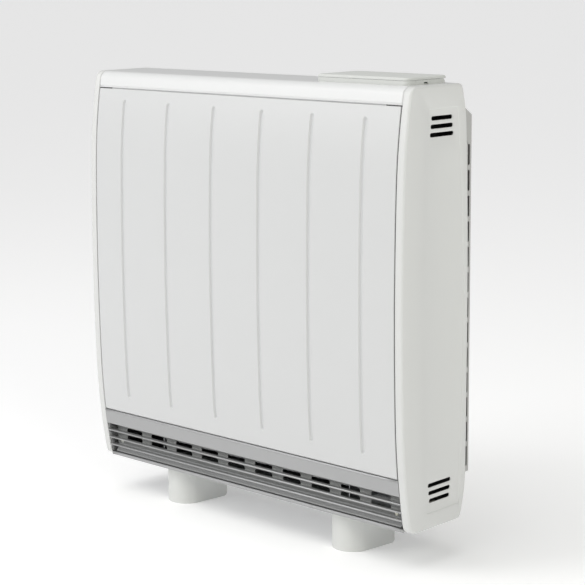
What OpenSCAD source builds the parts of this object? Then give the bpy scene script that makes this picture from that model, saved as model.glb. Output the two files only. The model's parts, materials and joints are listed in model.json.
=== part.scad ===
// Fan-assisted storage heater: a brick core in a barrel-fronted steel casing, warm air outlet
// at the foot of the front, side mouldings, a lidded control pod on top and two shrouded feet.
// Millimetres. X runs along the heater, Y from the room towards the wall, Z up from the floor.

/* [Casing] */
// Overall width over the side mouldings
casing_w = 690; // [640:1:1200]
// Height of the casing without its feet
casing_h = 667; // [650:1:700]
// Depth of the casing at mid height
casing_d = 156; // [153:0.5:165]
// Depth from the front to the wall plane
overall_d = 185; // [178:1:200]
// Width of the side moulding seen from the front
side_w = 14.5; // [10:0.5:18]
// Wall of the side mouldings
side_wall = 2.4; // [2:0.1:3]
// Edge radius of the side mouldings
side_edge_r = 4; // [3.5:0.1:5]
// Steel of the front panel and top cover
sheet_t = 1; // [0.8:0.1:1.2]
// Gap along the seams of the casing
seam = 0.4; // [0.3:0.1:0.6]
// Height of the front panel's top seam above the casing's underside
top_seam_z = 642.7; // [630:0.1:646]
// Height of the front panel's bottom seam above the casing's underside
low_seam_z = 85.1; // [80:0.1:92]

/* [Barrel shape] */
// Radius of the front between the shoulders
front_r = 5200; // [4500:10:8000]
// Radius of the front's upper shoulder
front_high_shoulder_r = 900; // [850:10:1100]
// Start of the front's upper shoulder above mid height
front_high_h = 190; // [180:1:200]
// Radius of the front's lower shoulder
front_low_shoulder_r = 1150; // [1000:10:1300]
// Start of the front's lower shoulder below mid height
front_low_h = 155; // [145:1:165]
// Corner radius at the top and bottom of the front
front_corner_r = 15; // [12:0.5:18]
// Radius of the back above mid height
back_high_r = 5500; // [5000:10:9500]
// Start of the back's upper shoulder above mid height
back_high_h = 270; // [255:1:275]
// Radius of the back below mid height
back_low_r = 30000; // [20000:100:40000]
// Start of the back's lower shoulder below mid height
back_low_h = 255; // [240:1:265]
// Radius of the back's shoulders
back_shoulder_r = 235; // [220:5:300]
// Corner radius at the top and bottom of the back
back_corner_r = 10; // [9:0.5:12]

/* [Front panel grooves] */
// Number of pressed grooves
groove_count = 6; // [2:1:6]
// Distance between grooves
groove_pitch = 105.5; // [60:0.5:110]
// Width of a groove
groove_w = 6.4; // [4:0.1:8]
// Depth of a groove
groove_depth = 1.2; // [0.6:0.1:1.6]
// Upper end of the grooves above the casing's underside
groove_top_z = 621.7; // [560:0.1:628]
// Lower end of the grooves above the casing's underside
groove_low_z = 114.2; // [105:0.1:150]

/* [Air outlet] */
// Height of the plain band above the bars
band_h = 25.3; // [22:0.1:26]
// Number of bars
bar_count = 3; // [2:1:3]
// Distance between bars
bar_pitch = 13.4; // [12:0.1:13.6]
// Thickness of a bar
bar_t = 2.8; // [2:0.1:3.5]
// Depth of a bar
bar_d = 7; // [5:0.5:9]
// Distance of the slotted plate behind the front plane
plate_y = 30; // [29:0.5:34]
// Slots in each row of the plate
outlet_slots = 10; // [4:1:10]
// Length of a slot
outlet_slot_l = 39.5; // [20:0.5:46]
// Height of a slot
outlet_slot_h = 8.5; // [6:0.5:9]
// Distance between the two rows of slots
outlet_row_pitch = 12.7; // [11:0.1:13]

/* [Side vents] */
// Height of a vent slot
vent_h = 6.3; // [4:0.1:7]
// Distance between vent slots
vent_pitch = 12.1; // [10:0.1:14]
// Length of the longest vent slot
vent_l = 55; // [40:0.5:60]
// How much shorter each next slot is
vent_step = 3; // [0:0.5:5]
// Distance of the first slots from the vents' middle height
vent_from_mid = 263.5; // [240:0.1:268]
// Distance of the vents' middle height below that of the casing
vent_drop = 1.9; // [0:0.1:3]
// Distance of the slots' middle from the front plane
vent_y = 90; // [80:0.5:100]

/* [Feet] */
// Height of the feet
foot_h = 61; // [50:1:90]
// Distance between the middles of the feet
foot_pitch = 378; // [300:1:440]
// Width of a foot at its round front
foot_w = 62; // [52:1:64]
// Flare of a foot from its front to its back, each side
foot_flare = 7; // [0:0.5:9]
// Distance of a foot's front from the front plane
foot_front_y = 35; // [32:1:50]
// Distance of a foot's back from the front plane
foot_back_y = 125; // [116:1:130]
// Radius of a foot's round front
foot_nose_r = 32; // [31:0.5:40]
// Wall of a foot's shroud
foot_wall = 2.5; // [2:0.1:3]

/* [Wall spacer] */
// Distance of the spacer's ends from the casing's ends
spacer_inset = 18; // [16:1:40]
// Height of the spacer's lower edge above the casing's underside
spacer_low_z = 63; // [50:1:80]
// Distance of the spacer's upper back edge below the casing's top
spacer_drop = 50; // [50:1:110]
// Rise of the spacer's sloping top towards the casing
spacer_rise = 31; // [20:1:31]
// Air slots in each end of the spacer
spacer_slots = 13; // [6:1:13]

/* [Storage core] */
// Rows of bricks
brick_rows = 6; // [6:1:6]
// Height of a brick
brick_h = 72; // [68:0.5:74]
// Length of a brick
brick_l = 260; // [230:1:262]
// Depth of a brick
brick_d = 37.2; // [35:0.1:37.6]
// Radius of the sheathed heating element
element_r = 4.2; // [3:0.1:4.4]

/* [Fan] */
// Radius of the cross-flow impeller
impeller_r = 27; // [22:0.5:29]
// Length of the impeller
impeller_l = 400; // [300:1:420]
// Blades of the impeller
blade_count = 18; // [12:1:24]
// Radius of the fan shaft
shaft_r = 3; // [2.5:0.1:4]
// Running clearance of shafts and pins
run_gap = 0.05; // [0.03:0.01:0.08]

/* [Control pod] */
// Width of the pod
pod_w = 179; // [175:1:210]
// Distance of the pod's right end from the casing's right end
pod_end = 22; // [18:1:60]
// Distance of the pod's front from the front plane
pod_front_y = 36; // [34:0.5:38]
// Depth of the lid
lid_d = 94; // [88:0.5:95]
// Height of the pod's base
pod_base_h = 6.8; // [6.6:0.1:8]
// Height of the lid
lid_h = 4.4; // [4.2:0.1:5]
// Shadow gap between base and lid
lid_gap = 0.4; // [0.3:0.1:0.5]
// Corner radius of the pod
pod_corner_r = 9; // [6:0.5:10]
// Radius of the lid's upper edge
lid_edge_r = 3; // [1:0.5:3.5]
// Width of a key
key_w = 12; // [8:0.5:13]
// Travel of a key
key_travel = 0.8; // [0.5:0.1:0.9]

/* [Hidden] */

// Clearance between pieces that lie face to face
fit = 0.3;
// Fragments of round pieces
ROUND = 96;
SMALL = 48;

mid_z = casing_h / 2;
front_w = casing_w - 2 * side_w;
seam_x = front_w / 2;
tiny = 0.01;

// ---------- Frame and directions ----------

// The model's origin is on the floor, midway along X and Y
module heater_frame() translate([0, -overall_d / 2, 0]) children();

// The casing's own frame has its origin at the front plane and mid height
module casing_frame() heater_frame() translate([0, 0, foot_h + mid_z]) children();

// Extrudes an outline drawn in (Y, Z) from x0 to x1
module along_x(x0, x1) translate([x0, 0, 0]) rotate([90, 0, 90]) linear_extrude(x1 - x0) children();

module x_cylinder(x0, x1, r, y, z, fn = SMALL) translate([x0, y, z]) rotate([0, 90, 0])
    cylinder(h = x1 - x0, r = r, $fn = fn);

module y_cylinder(y0, y1, r, x, z, fn = SMALL) translate([x, y0, z]) rotate([-90, 0, 0])
    cylinder(h = y1 - y0, r = r, $fn = fn);

// A block from its lowest to its highest corner
module block(low, high) translate(low) cube(high - low);

// How far a circle falls back at a distance from its apex
function sag(r, h) = r - sqrt(r * r - h * h);

// A slot with round ends, its length along the first axis
module slot_2d(length, height) {
    half = (length - height) / 2;
    square([length - height, height], center = true);
    for (side = [-1, 1]) translate([side * half, 0]) circle(r = height / 2, $fn = SMALL);
}

module rounded_2d(size, r) {
    square([size.x - 2 * r, size.y], center = true);
    square([size.x, size.y - 2 * r], center = true);
    for (sx = [-1, 1], sy = [-1, 1]) translate([sx * (size.x / 2 - r), sy * (size.y / 2 - r)])
        circle(r = r, $fn = SMALL);
}

// ---------- The barrel outline of the casing, in (Y, Z) about mid height ----------
// Half an edge is a chain of tangent arcs from mid height outwards: middle, shoulder, corner.
// A form is [middle radius, height of the shoulder's start, shoulder radius, corner radius].
// An arc is [centre, radius, from, to], with angles counted upwards from straight outwards.

front_high = [front_r, front_high_h, front_high_shoulder_r, front_corner_r];
front_low = [front_r, front_low_h, front_low_shoulder_r, front_corner_r];
back_high = [back_high_r, back_high_h, back_shoulder_r, back_corner_r];
back_low = [back_low_r, back_low_h, back_shoulder_r, back_corner_r];

function lean(form) = asin(form[1] / form[0]);
function shoulder_c(form) = (form[0] - form[2]) * [-cos(lean(form)), sin(lean(form))]
    + [form[0], 0];
function corner_c(form) = let (c = shoulder_c(form), z = mid_z - form[3], reach = form[2] - form[3])
    [c.x - sqrt(reach * reach - (z - c.y) * (z - c.y)), z];
function corner_a(form) = asin((corner_c(form).y - shoulder_c(form).y) / (form[2] - form[3]));
function half_arcs(form) = [
    [[form[0], 0], form[0], 0, lean(form)],
    [shoulder_c(form), form[2], lean(form), corner_a(form)],
    [corner_c(form), form[3], corner_a(form), 90]];
function arc_point(arc, angle, inset) = arc[0] + (arc[1] - inset) * [-cos(angle), sin(angle)];

// Straight steps that stand for an arc: more of them for a shoulder
function arc_steps(arc) = arc[1] < 2000 && arc[1] > 100 ? 8 : 6;
function half_points(form, inset) = [for (arc = half_arcs(form), k = [1 : arc_steps(arc)])
    arc_point(arc, arc[2] + (arc[3] - arc[2]) * k / arc_steps(arc), inset)];

// One edge's points upwards, from its lower and its upper half
function edge_points(low, high, inset) = let (under = half_points(low, inset), count = len(under))
    concat([for (k = [1 : count]) [under[count - k].x, -under[count - k].y]], [[inset, 0]],
        half_points(high, inset));

// The whole outline, drawn in from every side
module barrel(inset = 0) {
    back = edge_points(back_low, back_high, inset);
    count = len(back);
    polygon(concat(edge_points(front_low, front_high, inset),
        [for (k = [1 : count]) [casing_d - back[count - k].x, back[count - k].y]]));
}

module band_2d(inset, t) difference() {
    barrel(inset);
    barrel(inset + t);
}

// The front face's distance from the front plane at a height
function fall(form, h) = h < form[1] ? sag(form[0], h)
    : let (c = shoulder_c(form), rise = h - c.y) c.x - sqrt(form[2] * form[2] - rise * rise);
function front_y(z) = z < 0 ? fall(front_low, -z) : fall(front_high, z);

// ---------- Side mouldings ----------

// The moulding's outer form, rounded where the rim meets the face
module side_form() hull() {
    x1 = casing_w / 2;
    along_x(seam_x + seam, x1 - side_edge_r) barrel();
    for (turn = [30, 60, 90]) {
        x = x1 - side_edge_r * (1 - sin(turn));
        along_x(x - tiny, x) barrel(side_edge_r * (1 - cos(turn)));
    }
}

module vent_slots_2d() for (side = [-1, 1], k = [0, 1, 2])
    translate([vent_y, side * (vent_from_mid + k * vent_pitch) - vent_drop])
        slot_2d(vent_l - k * vent_step, vent_h);

// The shallow field on the side's face, bowed like the casing
module side_field_2d() {
    low = 24.5 - mid_z;
    high = mid_z - 33.2;
    front = 49;
    back = 144.5;
    steps = 16;
    heights = [for (k = [0 : steps]) low + (high - low) * k / steps];
    polygon(concat([for (z = heights) [front + sag(field_front_r, z), z]],
        [for (k = [0 : steps]) let (z = heights[steps - k])
            [back - sag(z > 0 ? field_high_r : field_low_r, z), z]]));
}

// Section of a rib that locates the moulding inside the chassis flange, at the front
module front_rib_2d(z) intersection() {
    band_2d(rib_inset, rib_t);
    translate([0, z - rib_l / 2]) square([60, rib_l]);
}

module locating_ribs(x0, x1) {
    rear = chassis_back_y - chassis_t - fit;
    side_y = 70;
    for (z = [-210, 0, 210]) {
        along_x(x0, x1) front_rib_2d(z);
        block([x0, rear - rib_t, z - rib_l / 2], [x1, rear, z + rib_l / 2]);
    }
    for (side = [-1, 1]) {
        z = side * (mid_z - 4.4);
        block([x0, side_y, min(z, z - side * rib_t)],
            [x1, side_y + rib_l, max(z, z - side * rib_t)]);
    }
}

field_front_r = 5000;
field_high_r = 2600;
field_low_r = 5500;
field_depth = 0.8;
rib_t = 1.8;
rib_l = 26;
chassis_t = 1.2;
chassis_inset = sheet_t + fit;
rib_inset = chassis_inset + chassis_t + 2 * fit;
panel_back_y = 137;
chassis_back_y = panel_back_y - sheet_t - fit;
chassis_x = seam_x - 30.5;

module side_panel() {
    x1 = casing_w / 2;
    difference() {
        side_form();
        along_x(seam_x, x1 - side_wall) barrel(side_wall);
        along_x(x1 - side_wall - 1, x1 + 1) vent_slots_2d();
        along_x(x1 - field_depth, x1 + 1) side_field_2d();
    }
    locating_ribs(seam_x - 8, x1 - side_wall + tiny);
}

module side_panel_right() color([0.82, 0.83, 0.8]) casing_frame() side_panel();
module side_panel_left() color([0.82, 0.83, 0.8]) casing_frame() mirror([1, 0, 0]) side_panel();

// ---------- Front panel ----------

low_seam = low_seam_z - mid_z;
top_seam = top_seam_z - mid_z;
function groove_x(k) = (k - (groove_count - 1) / 2) * groove_pitch;

// Upright bars with round ends at the grooves, through the front of the casing
module groove_bars(margin) {
    length = groove_top_z - groove_low_z + 2 * margin;
    z = (groove_top_z + groove_low_z) / 2 - mid_z;
    for (k = [0 : groove_count - 1]) translate([groove_x(k), 40, z]) rotate([90, 0, 0])
        linear_extrude(60) rotate(90) slot_2d(length, groove_w + 2 * margin);
}

module front_window(z0, z1, deep = 40) translate([-20, z0]) square([20 + deep, z1 - z0]);

side_fold = 2.6;
flange_x = chassis_x - 0.6;

module front_panel() color([0.91, 0.92, 0.92]) casing_frame() {
    z0 = low_seam + seam / 2;
    z1 = top_seam - seam / 2;
    fold = 9;
    difference() {
        union() {
            along_x(-seam_x, seam_x) intersection() {
                band_2d(0, sheet_t);
                front_window(z0, z1);
            }
            intersection() {
                groove_bars(sheet_t);
                along_x(-seam_x, seam_x) band_2d(sheet_t / 2, groove_depth + sheet_t / 2);
            }
            for (side = [0, 1]) mirror([side, 0, 0]) along_x(seam_x - sheet_t, seam_x)
                intersection() {
                    band_2d(0, side_fold);
                    front_window(z0, z1);
                }
            for (z = [z0, z1 - sheet_t]) along_x(-flange_x, flange_x) intersection() {
                band_2d(0, fold);
                front_window(z, z + sheet_t);
            }
        }
        difference() {
            groove_bars(0);
            along_x(-seam_x, seam_x) barrel(groove_depth);
        }
    }
}

// ---------- Top cover, back panel and base pan ----------

cover_back_z = mid_z - back_corner_r - 1;

module top_cover() color([0.93, 0.94, 0.94]) casing_frame() difference() {
    union() {
        along_x(-seam_x, seam_x) intersection() {
            band_2d(0, sheet_t);
            union() {
                translate([-20, top_seam + seam / 2]) square([100, 60]);
                translate([79, cover_back_z]) square([120, 60]);
            }
        }
        for (side = [0, 1]) mirror([side, 0, 0]) along_x(seam_x - sheet_t, seam_x) intersection() {
            band_2d(0, side_fold);
            translate([-20, top_seam + seam / 2]) square([100, 60]);
        }
    }
    translate([spigot_x, spigot_y, mid_z - 10]) cylinder(h = 20, r = spigot_r + fit, $fn = SMALL);
}

panel_half_h = mid_z - back_corner_r - 1 - seam;

module back_panel() color([0.66, 0.67, 0.67]) casing_frame() difference() {
    block([-seam_x + 0.6, panel_back_y - sheet_t, -panel_half_h],
        [seam_x - 0.6, panel_back_y, panel_half_h]);
    for (x = spacer_screw_xs, z = spacer_screw_zs)
        y_cylinder(panel_back_y - 5, panel_back_y + 5, screw_r + 0.1, x, z, 24);
}

pan_t = 1.2;
pan_front_y = 46;

module base_pan() color([0.7, 0.71, 0.71]) casing_frame() difference() {
    union() {
        along_x(-seam_x, seam_x) intersection() {
            band_2d(0, pan_t);
            translate([pan_front_y, -mid_z - 1]) square([120, mid_z - cover_back_z + 1]);
        }
        block([-seam_x, pan_front_y, -mid_z + tiny], [seam_x, pan_front_y + pan_t, -mid_z + 14]);
    }
    for (x = foot_screw_xs, y = foot_screw_ys) translate([x, y, -mid_z - 5])
        cylinder(h = 12, r = screw_r + 0.1, $fn = 24);
    translate([gland_x, gland_y, -mid_z - 5]) cylinder(h = 12, r = 10, $fn = SMALL);
}

gland_x = seam_x - 45.5;
gland_y = 112;

// A bush that grips the supply cord where it passes the base pan
module cable_gland() color([0.15, 0.15, 0.16]) casing_frame() translate([gland_x, gland_y, -mid_z])
    difference() {
        union() {
            translate([0, 0, -3]) cylinder(h = 3 - tiny, r = 13, $fn = SMALL);
            translate([0, 0, -tiny * 2]) cylinder(h = 12, r = 9.8, $fn = SMALL);
            translate([0, 0, pan_t + tiny]) cylinder(h = 4, r = 13, $fn = 6);
        }
        translate([0, 0, -5]) cylinder(h = 20, r = 4.5, $fn = SMALL);
    }

// ---------- Wall spacer, wall bracket and their screws ----------

screw_r = 2;
head_r = 3.6;
head_h = 2;
spacer_t = 0.8;
bracket_t = 2;
spacer_y1 = overall_d - bracket_t;
spacer_y0 = panel_back_y + tiny;
spacer_z0 = spacer_low_z - mid_z;
spacer_z1 = mid_z - spacer_drop;
spacer_lip = 8;
spacer_half = casing_w / 2 - spacer_inset;
spacer_screw_x = spacer_half - 47;
spacer_screw_xs = [-spacer_screw_x, 0, spacer_screw_x];
spacer_screw_zs = [spacer_z0 - head_r - fit, spacer_z1 + spacer_rise + head_r + fit];
wall_slot_x = 150;
wall_slot_l = 14;
wall_slot_r = 3.5;
bracket_z = spacer_z1 - 40;
bracket_h = 36;

// Section of the spacer's shell: flat underside, back and sloping top, with lips at the casing
module spacer_shell_2d(t) {
    rise_end = spacer_z1 + spacer_rise;
    slope = atan(spacer_rise / (spacer_y1 - spacer_y0));
    cut = t / cos(slope);
    lip_top = min(rise_end + spacer_lip, panel_half_h);
    polygon([[spacer_y0, spacer_z0 - spacer_lip], [spacer_y0 + t, spacer_z0 - spacer_lip],
        [spacer_y0 + t, spacer_z0], [spacer_y1, spacer_z0], [spacer_y1, spacer_z1],
        [spacer_y0 + t, rise_end], [spacer_y0 + t, lip_top], [spacer_y0, lip_top],
        [spacer_y0, rise_end - cut], [spacer_y1 - t, spacer_z1 - t], [spacer_y1 - t, spacer_z0 + t],
        [spacer_y0, spacer_z0 + t]]);
}

module spacer_end_2d() polygon([[spacer_y0, spacer_z0], [spacer_y1, spacer_z0],
    [spacer_y1, spacer_z1], [spacer_y0, spacer_z1 + spacer_rise]]);

module wall_spacer() color([0.68, 0.69, 0.69]) casing_frame() difference() {
    low_slot = spacer_z0 + 24.75;
    pitch = (spacer_z1 - 59.75 - low_slot) / (spacer_slots - 1);
    slot_y = spacer_y1 - 6.3;
    union() {
        along_x(-spacer_half, spacer_half) spacer_shell_2d(spacer_t);
        for (side = [0, 1]) mirror([side, 0, 0])
            along_x(spacer_half - spacer_t, spacer_half) spacer_end_2d();
    }
    along_x(-spacer_half - 1, spacer_half + 1) for (k = [0 : spacer_slots - 1])
        translate([slot_y, low_slot + k * pitch]) rotate(90) slot_2d(pitch - 7.4, 5);
    for (x = spacer_screw_xs, z = spacer_screw_zs)
        y_cylinder(spacer_y0 - 2, spacer_y0 + 4, screw_r + 0.1, x, z, 24);
    for (side = [-1, 1]) y_cylinder(spacer_y1 - 4, spacer_y1 + 2, 11, side * wall_slot_x, bracket_z);
}

bracket_half_w = 210;

module wall_bracket() color([0.6, 0.61, 0.62]) casing_frame() difference() {
    block([-bracket_half_w, spacer_y1 + tiny, bracket_z - bracket_h / 2],
        [bracket_half_w, overall_d, bracket_z + bracket_h / 2]);
    for (side = [-1, 1]) translate([side * wall_slot_x, overall_d + 2, bracket_z])
        rotate([90, 0, 0]) linear_extrude(6) slot_2d(wall_slot_l, 2 * wall_slot_r);
}

// A pan-head screw along +Y, its head's underside at y = 0
module screw(length, driver = true) rotate([90, 0, 0]) {
    difference() {
        cylinder(h = head_h, r1 = head_r, r2 = head_r * 0.8, $fn = 32);
        if (driver) for (turn = [0, 90]) rotate(turn) translate([-2, -0.4, head_h - 0.9])
            cube([4, 0.8, 2]);
    }
    translate([0, 0, -length]) cylinder(h = length + tiny, r = screw_r, $fn = 24);
}

module spacer_screws() color([0.75, 0.76, 0.78]) casing_frame()
    for (x = spacer_screw_xs, z = spacer_screw_zs)
        translate([x, spacer_y0 + spacer_t + 0.02, z]) rotate([0, 0, 180]) screw(6);

// ---------- Air outlet ----------

first_bar = 12.8;
bar_z = [for (k = [0 : bar_count - 1]) low_seam - band_h - first_bar - k * bar_pitch];
grille_end_t = 2;
rail_h = 5.6;
rail_t = 1.4;
rail_back_y = pan_front_y - seam;

// A bar's section, rounded at the front
module bar_2d(z) {
    y = front_y(z);
    translate([y + bar_t / 2, z - bar_t / 2]) square([bar_d - bar_t / 2, bar_t]);
    translate([y + bar_t / 2, z]) circle(r = bar_t / 2, $fn = 24);
}

// The end supports of the grille, behind the side mouldings' edge
module grille_end_2d() intersection() {
    band_2d(3, bar_d);
    translate([0, -mid_z]) square([rail_back_y, low_seam_z - seam / 2]);
}

module outlet_grille() color([0.72, 0.73, 0.74]) casing_frame() {
    z1 = low_seam - seam / 2;
    x1 = seam_x - 0.3;
    along_x(-x1, x1) {
        intersection() {
            band_2d(0, 1.5);
            front_window(low_seam - band_h, z1);
        }
        intersection() {
            band_2d(0, 8);
            union() {
                front_window(z1 - 1.5, z1);
                front_window(low_seam - band_h, low_seam - band_h + 1.5);
            }
        }
        for (z = bar_z) bar_2d(z);
        difference() {
            intersection() {
                barrel();
                translate([10, -mid_z]) square([rail_back_y - 10, rail_h]);
            }
            intersection() {
                barrel(rail_t);
                translate([10, -mid_z]) square([80, rail_h - rail_t]);
            }
        }
    }
    for (side = [0, 1]) mirror([side, 0, 0]) along_x(x1 - grille_end_t, x1) grille_end_2d();
}

plate_t = 1.2;
plate_z1 = low_seam - 3;
plate_z0 = low_seam - 63;
first_row = 38;
row_z = [low_seam - first_row, low_seam - first_row - outlet_row_pitch];
plate_x = seam_x - 7.5;
plate_lip_d = 14;
outlet_slot_pitch = (2 * plate_x - 25) / outlet_slots;

module outlet_plate_2d() translate([plate_y, plate_z0]) square([plate_t, plate_z1 - plate_z0]);

// Section of the strip below the plate, which curves forward to the rail
module deflector_2d() {
    bend_r = 20;
    bend_a = 45;
    c = [deflector_y - bend_r, plate_z0];
    intersection() {
        difference() {
            translate(c) circle(r = bend_r + plate_t, $fn = ROUND);
            translate(c) circle(r = bend_r, $fn = ROUND);
        }
        polygon([c, c + [60, 0], c + 60 * [cos(bend_a), -sin(bend_a)]]);
    }
}

deflector_y = plate_y + plate_t + 0.05;

module outlet_deflector() color([0.45, 0.46, 0.46]) casing_frame() {
    flange_h = 8;
    along_x(-plate_x, plate_x) deflector_2d();
    along_x(2 - chassis_x, chassis_x - 2) translate([deflector_y, plate_z0 - tiny])
        square([plate_t, flange_h]);
}

module outlet_plate() color([0.45, 0.46, 0.46]) casing_frame() difference() {
    union() {
        along_x(-plate_x, plate_x) outlet_plate_2d();
        along_x(2 - chassis_x, chassis_x - 2) translate([plate_y, plate_z1 - plate_t])
            square([plate_lip_d, plate_t]);
    }
    for (k = [0 : outlet_slots - 1], z = row_z)
        translate([(k - (outlet_slots - 1) / 2) * outlet_slot_pitch, plate_y + 6, z])
            rotate([90, 0, 0]) linear_extrude(10) slot_2d(outlet_slot_l, outlet_slot_h);
    for (side = [-1, 1]) y_cylinder(plate_y - 3, plate_y + 6, screw_r + 0.1, side * outlet_screw_x,
        outlet_screw_z, 24);
}

outlet_screw_x = seam_x - 19.5;
outlet_screw_z = low_seam - 59;

module outlet_screws() color([0.7, 0.75, 0.78]) casing_frame() for (side = [-1, 1])
    translate([side * outlet_screw_x, plate_y - 0.02, outlet_screw_z]) screw(10);

// ---------- Chassis ----------

module chassis_2d(inset) intersection() {
    barrel(chassis_inset + inset);
    translate([-10, -mid_z]) square([chassis_back_y + 10 - inset, 2 * mid_z]);
    union() {
        translate([-10, low_seam + 2 + inset]) square([300, 2 * mid_z]);
        translate([48 + inset, -mid_z]) square([300, 2 * mid_z]);
    }
}

module chassis_end() difference() {
    union() {
        along_x(chassis_x, chassis_x + chassis_t) chassis_2d(0);
        along_x(chassis_x, seam_x - sheet_t - fit) difference() {
            chassis_2d(0);
            chassis_2d(chassis_t);
        }
        along_x(chassis_x, chassis_x + chassis_t) translate([32, low_seam - 62])
            square([20, 66]);
        block([chassis_x, plate_y + plate_t + fit, plate_z0 + 2 * fit],
            [seam_x - 6, plate_y + plate_t + fit + chassis_t, outlet_screw_z + 8]);
    }
    y_cylinder(plate_y, plate_y + 12, screw_r + 0.1, outlet_screw_x, outlet_screw_z, 24);
    for (p = element_legs) x_cylinder(chassis_x - 5, chassis_x + 8, element_r + 1.5, element_y, p);
    x_cylinder(chassis_x - 5, chassis_x + 8, 12, fan_y, fan_z);
}

module chassis_end_right() color([0.62, 0.63, 0.64]) casing_frame() chassis_end();
module chassis_end_left() color([0.62, 0.63, 0.64]) casing_frame() mirror([1, 0, 0]) chassis_end();

shelf_z = -mid_z + 102;
shelf_t = 2;
base_slab_h = 32;
core_z0 = shelf_z + shelf_t + fit + base_slab_h + fit;
inner_x = chassis_x - fit;

module core_shelf() color([0.6, 0.61, 0.62]) casing_frame() difference() {
    union() {
        block([-inner_x, shelf_y0, shelf_z], [inner_x, chassis_back_y - fit, shelf_z + shelf_t]);
        for (side = [0, 1]) mirror([side, 0, 0]) block([inner_x - shelf_t, shelf_y0, shelf_z],
            [inner_x, chassis_back_y - fit, shelf_z + 20]);
    }
    for (x = port_xs) air_port(x, shelf_z - 1, shelf_z + shelf_t + 1);
}

shelf_y0 = 14;
port_xs = [-180, -60, 60, 180];

// A port that lets air pass between the core and the fan
module air_port(x, z0, z1) translate([x, 103, z0]) linear_extrude(z1 - z0) slot_2d(80, 12);

// ---------- Storage core ----------

front_slab_y0 = shelf_y0 + 0.2;
front_slab_y1 = 34.8;
brick_y0 = front_slab_y1 + fit;
element_y = brick_y0 + brick_d + fit / 2;
back_slab_y0 = element_y + fit / 2 + brick_d + fit;
back_slab_y1 = chassis_back_y - fit;
row_step = brick_h + fit;
core_z1 = core_z0 + brick_rows * row_step;
core_x = brick_l + fit;
element_legs = [for (k = [0 : 5]) core_z0 + (k + 0.5) * row_step];

// The path of one hairpin element about its lower leg, with a bend at the left
module element_path(r, lower_z, x_end) {
    bend_r = row_step / 2;
    bend_x = -brick_l + bend_r + 14;
    for (z = [0, row_step]) x_cylinder(bend_x, x_end, r, element_y, lower_z + z, 32);
    translate([bend_x, element_y, lower_z + bend_r]) rotate([90, 0, 0]) rotate([0, 0, 90])
        rotate_extrude(angle = 180, $fn = ROUND) translate([bend_r, 0]) circle(r = r, $fn = 32);
}

// One row: two bricks side by side, front and back, with grooves for the element and air ways
module brick_row(index) color([0.42, 0.36, 0.33]) casing_frame() {
    z0 = core_z0 + index * row_step;
    lower_leg = element_legs[index - index % 2];
    for (x = [-1, 1], back = [0, 1]) {
        x0 = x < 0 ? -core_x : fit;
        y0 = brick_y0 + back * (brick_d + fit);
        difference() {
            block([x0, y0, z0], [x0 + brick_l, y0 + brick_d, z0 + brick_h]);
            element_path(element_r + 0.8, lower_leg, 400);
            for (k = [0 : 4]) translate([x0 + (k + 0.5) * brick_l / 5,
                    back ? y0 + brick_d + 3 : y0 - 3, z0 - 1])
                cylinder(h = brick_h + 2, r = 8, $fn = 32);
        }
    }
}

module brick_row_1() brick_row(0);
module brick_row_2() brick_row(1);
module brick_row_3() brick_row(2);
module brick_row_4() brick_row(3);
module brick_row_5() brick_row(4);
module brick_row_6() brick_row(5);

module element(index) color([0.35, 0.33, 0.32]) casing_frame() {
    end_x = chassis_x + 12;
    element_path(element_r, element_legs[2 * index], end_x);
    for (k = [0, 1])
        x_cylinder(end_x - tiny, end_x + 8, 1.6, element_y, element_legs[2 * index + k], 24);
}
module element_lower() element(0);
module element_middle() element(1);
module element_upper() element(2);

slab_x = inner_x - shelf_t - fit;
top_slab_h = 34;

module insulation_front() color([0.86, 0.84, 0.76]) casing_frame()
    block([-slab_x, front_slab_y0, shelf_z + shelf_t + fit],
        [slab_x, front_slab_y1, core_z1 + top_slab_h]);

module insulation_back() color([0.86, 0.84, 0.76]) casing_frame()
    block([-slab_x, back_slab_y0, shelf_z + shelf_t + fit],
        [slab_x, back_slab_y1, core_z1 + top_slab_h]);

module insulation_top() color([0.86, 0.84, 0.76]) casing_frame()
    block([-slab_x, front_slab_y1 + fit, core_z1],
        [slab_x, back_slab_y0 - fit, core_z1 + top_slab_h]);

module insulation_base() color([0.86, 0.84, 0.76]) casing_frame() difference() {
    block([-slab_x, front_slab_y1 + fit, shelf_z + shelf_t + fit],
        [slab_x, back_slab_y0 - fit, core_z0 - fit]);
    for (x = port_xs) air_port(x, shelf_z, core_z0 + 1);
}

module insulation_left() color([0.86, 0.84, 0.76]) casing_frame()
    block([-slab_x, front_slab_y1 + fit, core_z0],
        [-core_x - fit, back_slab_y0 - fit, core_z1 - fit]);

module insulation_right() color([0.86, 0.84, 0.76]) casing_frame() difference() {
    block([core_x + fit, front_slab_y1 + fit, core_z0],
        [slab_x, back_slab_y0 - fit, core_z1 - fit]);
    for (z = element_legs)
        x_cylinder(core_x - 2, slab_x + 2, element_r + 0.8, element_y, z, 32);
}

// ---------- Fan and damper ----------

fan_y = 98;
fan_z = -mid_z + 52;
scroll_r = impeller_r + 4;
scroll_t = 1;
fan_x0 = -impeller_l / 2 - 10;
fan_x1 = impeller_l / 2 + 10;
end_t = 1.2;

// Section of the scroll: round the back of the impeller, then forward to the outlet plate
module scroll_2d() {
    translate([fan_y, fan_z]) intersection() {
        difference() {
            circle(r = scroll_r + scroll_t, $fn = ROUND);
            circle(r = scroll_r, $fn = ROUND);
        }
        polygon([[0, 0], [0, -60], [70, -60], [70, 70], [0, 70]]);
    }
    translate([plate_y + plate_t + 4, fan_z - scroll_r - scroll_t])
        square([fan_y - plate_y - plate_t - 4 + tiny, scroll_t]);
    translate([plate_y + plate_t + 4, fan_z + 16]) square([fan_y - plate_y - plate_t - 44, scroll_t]);
}

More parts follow.
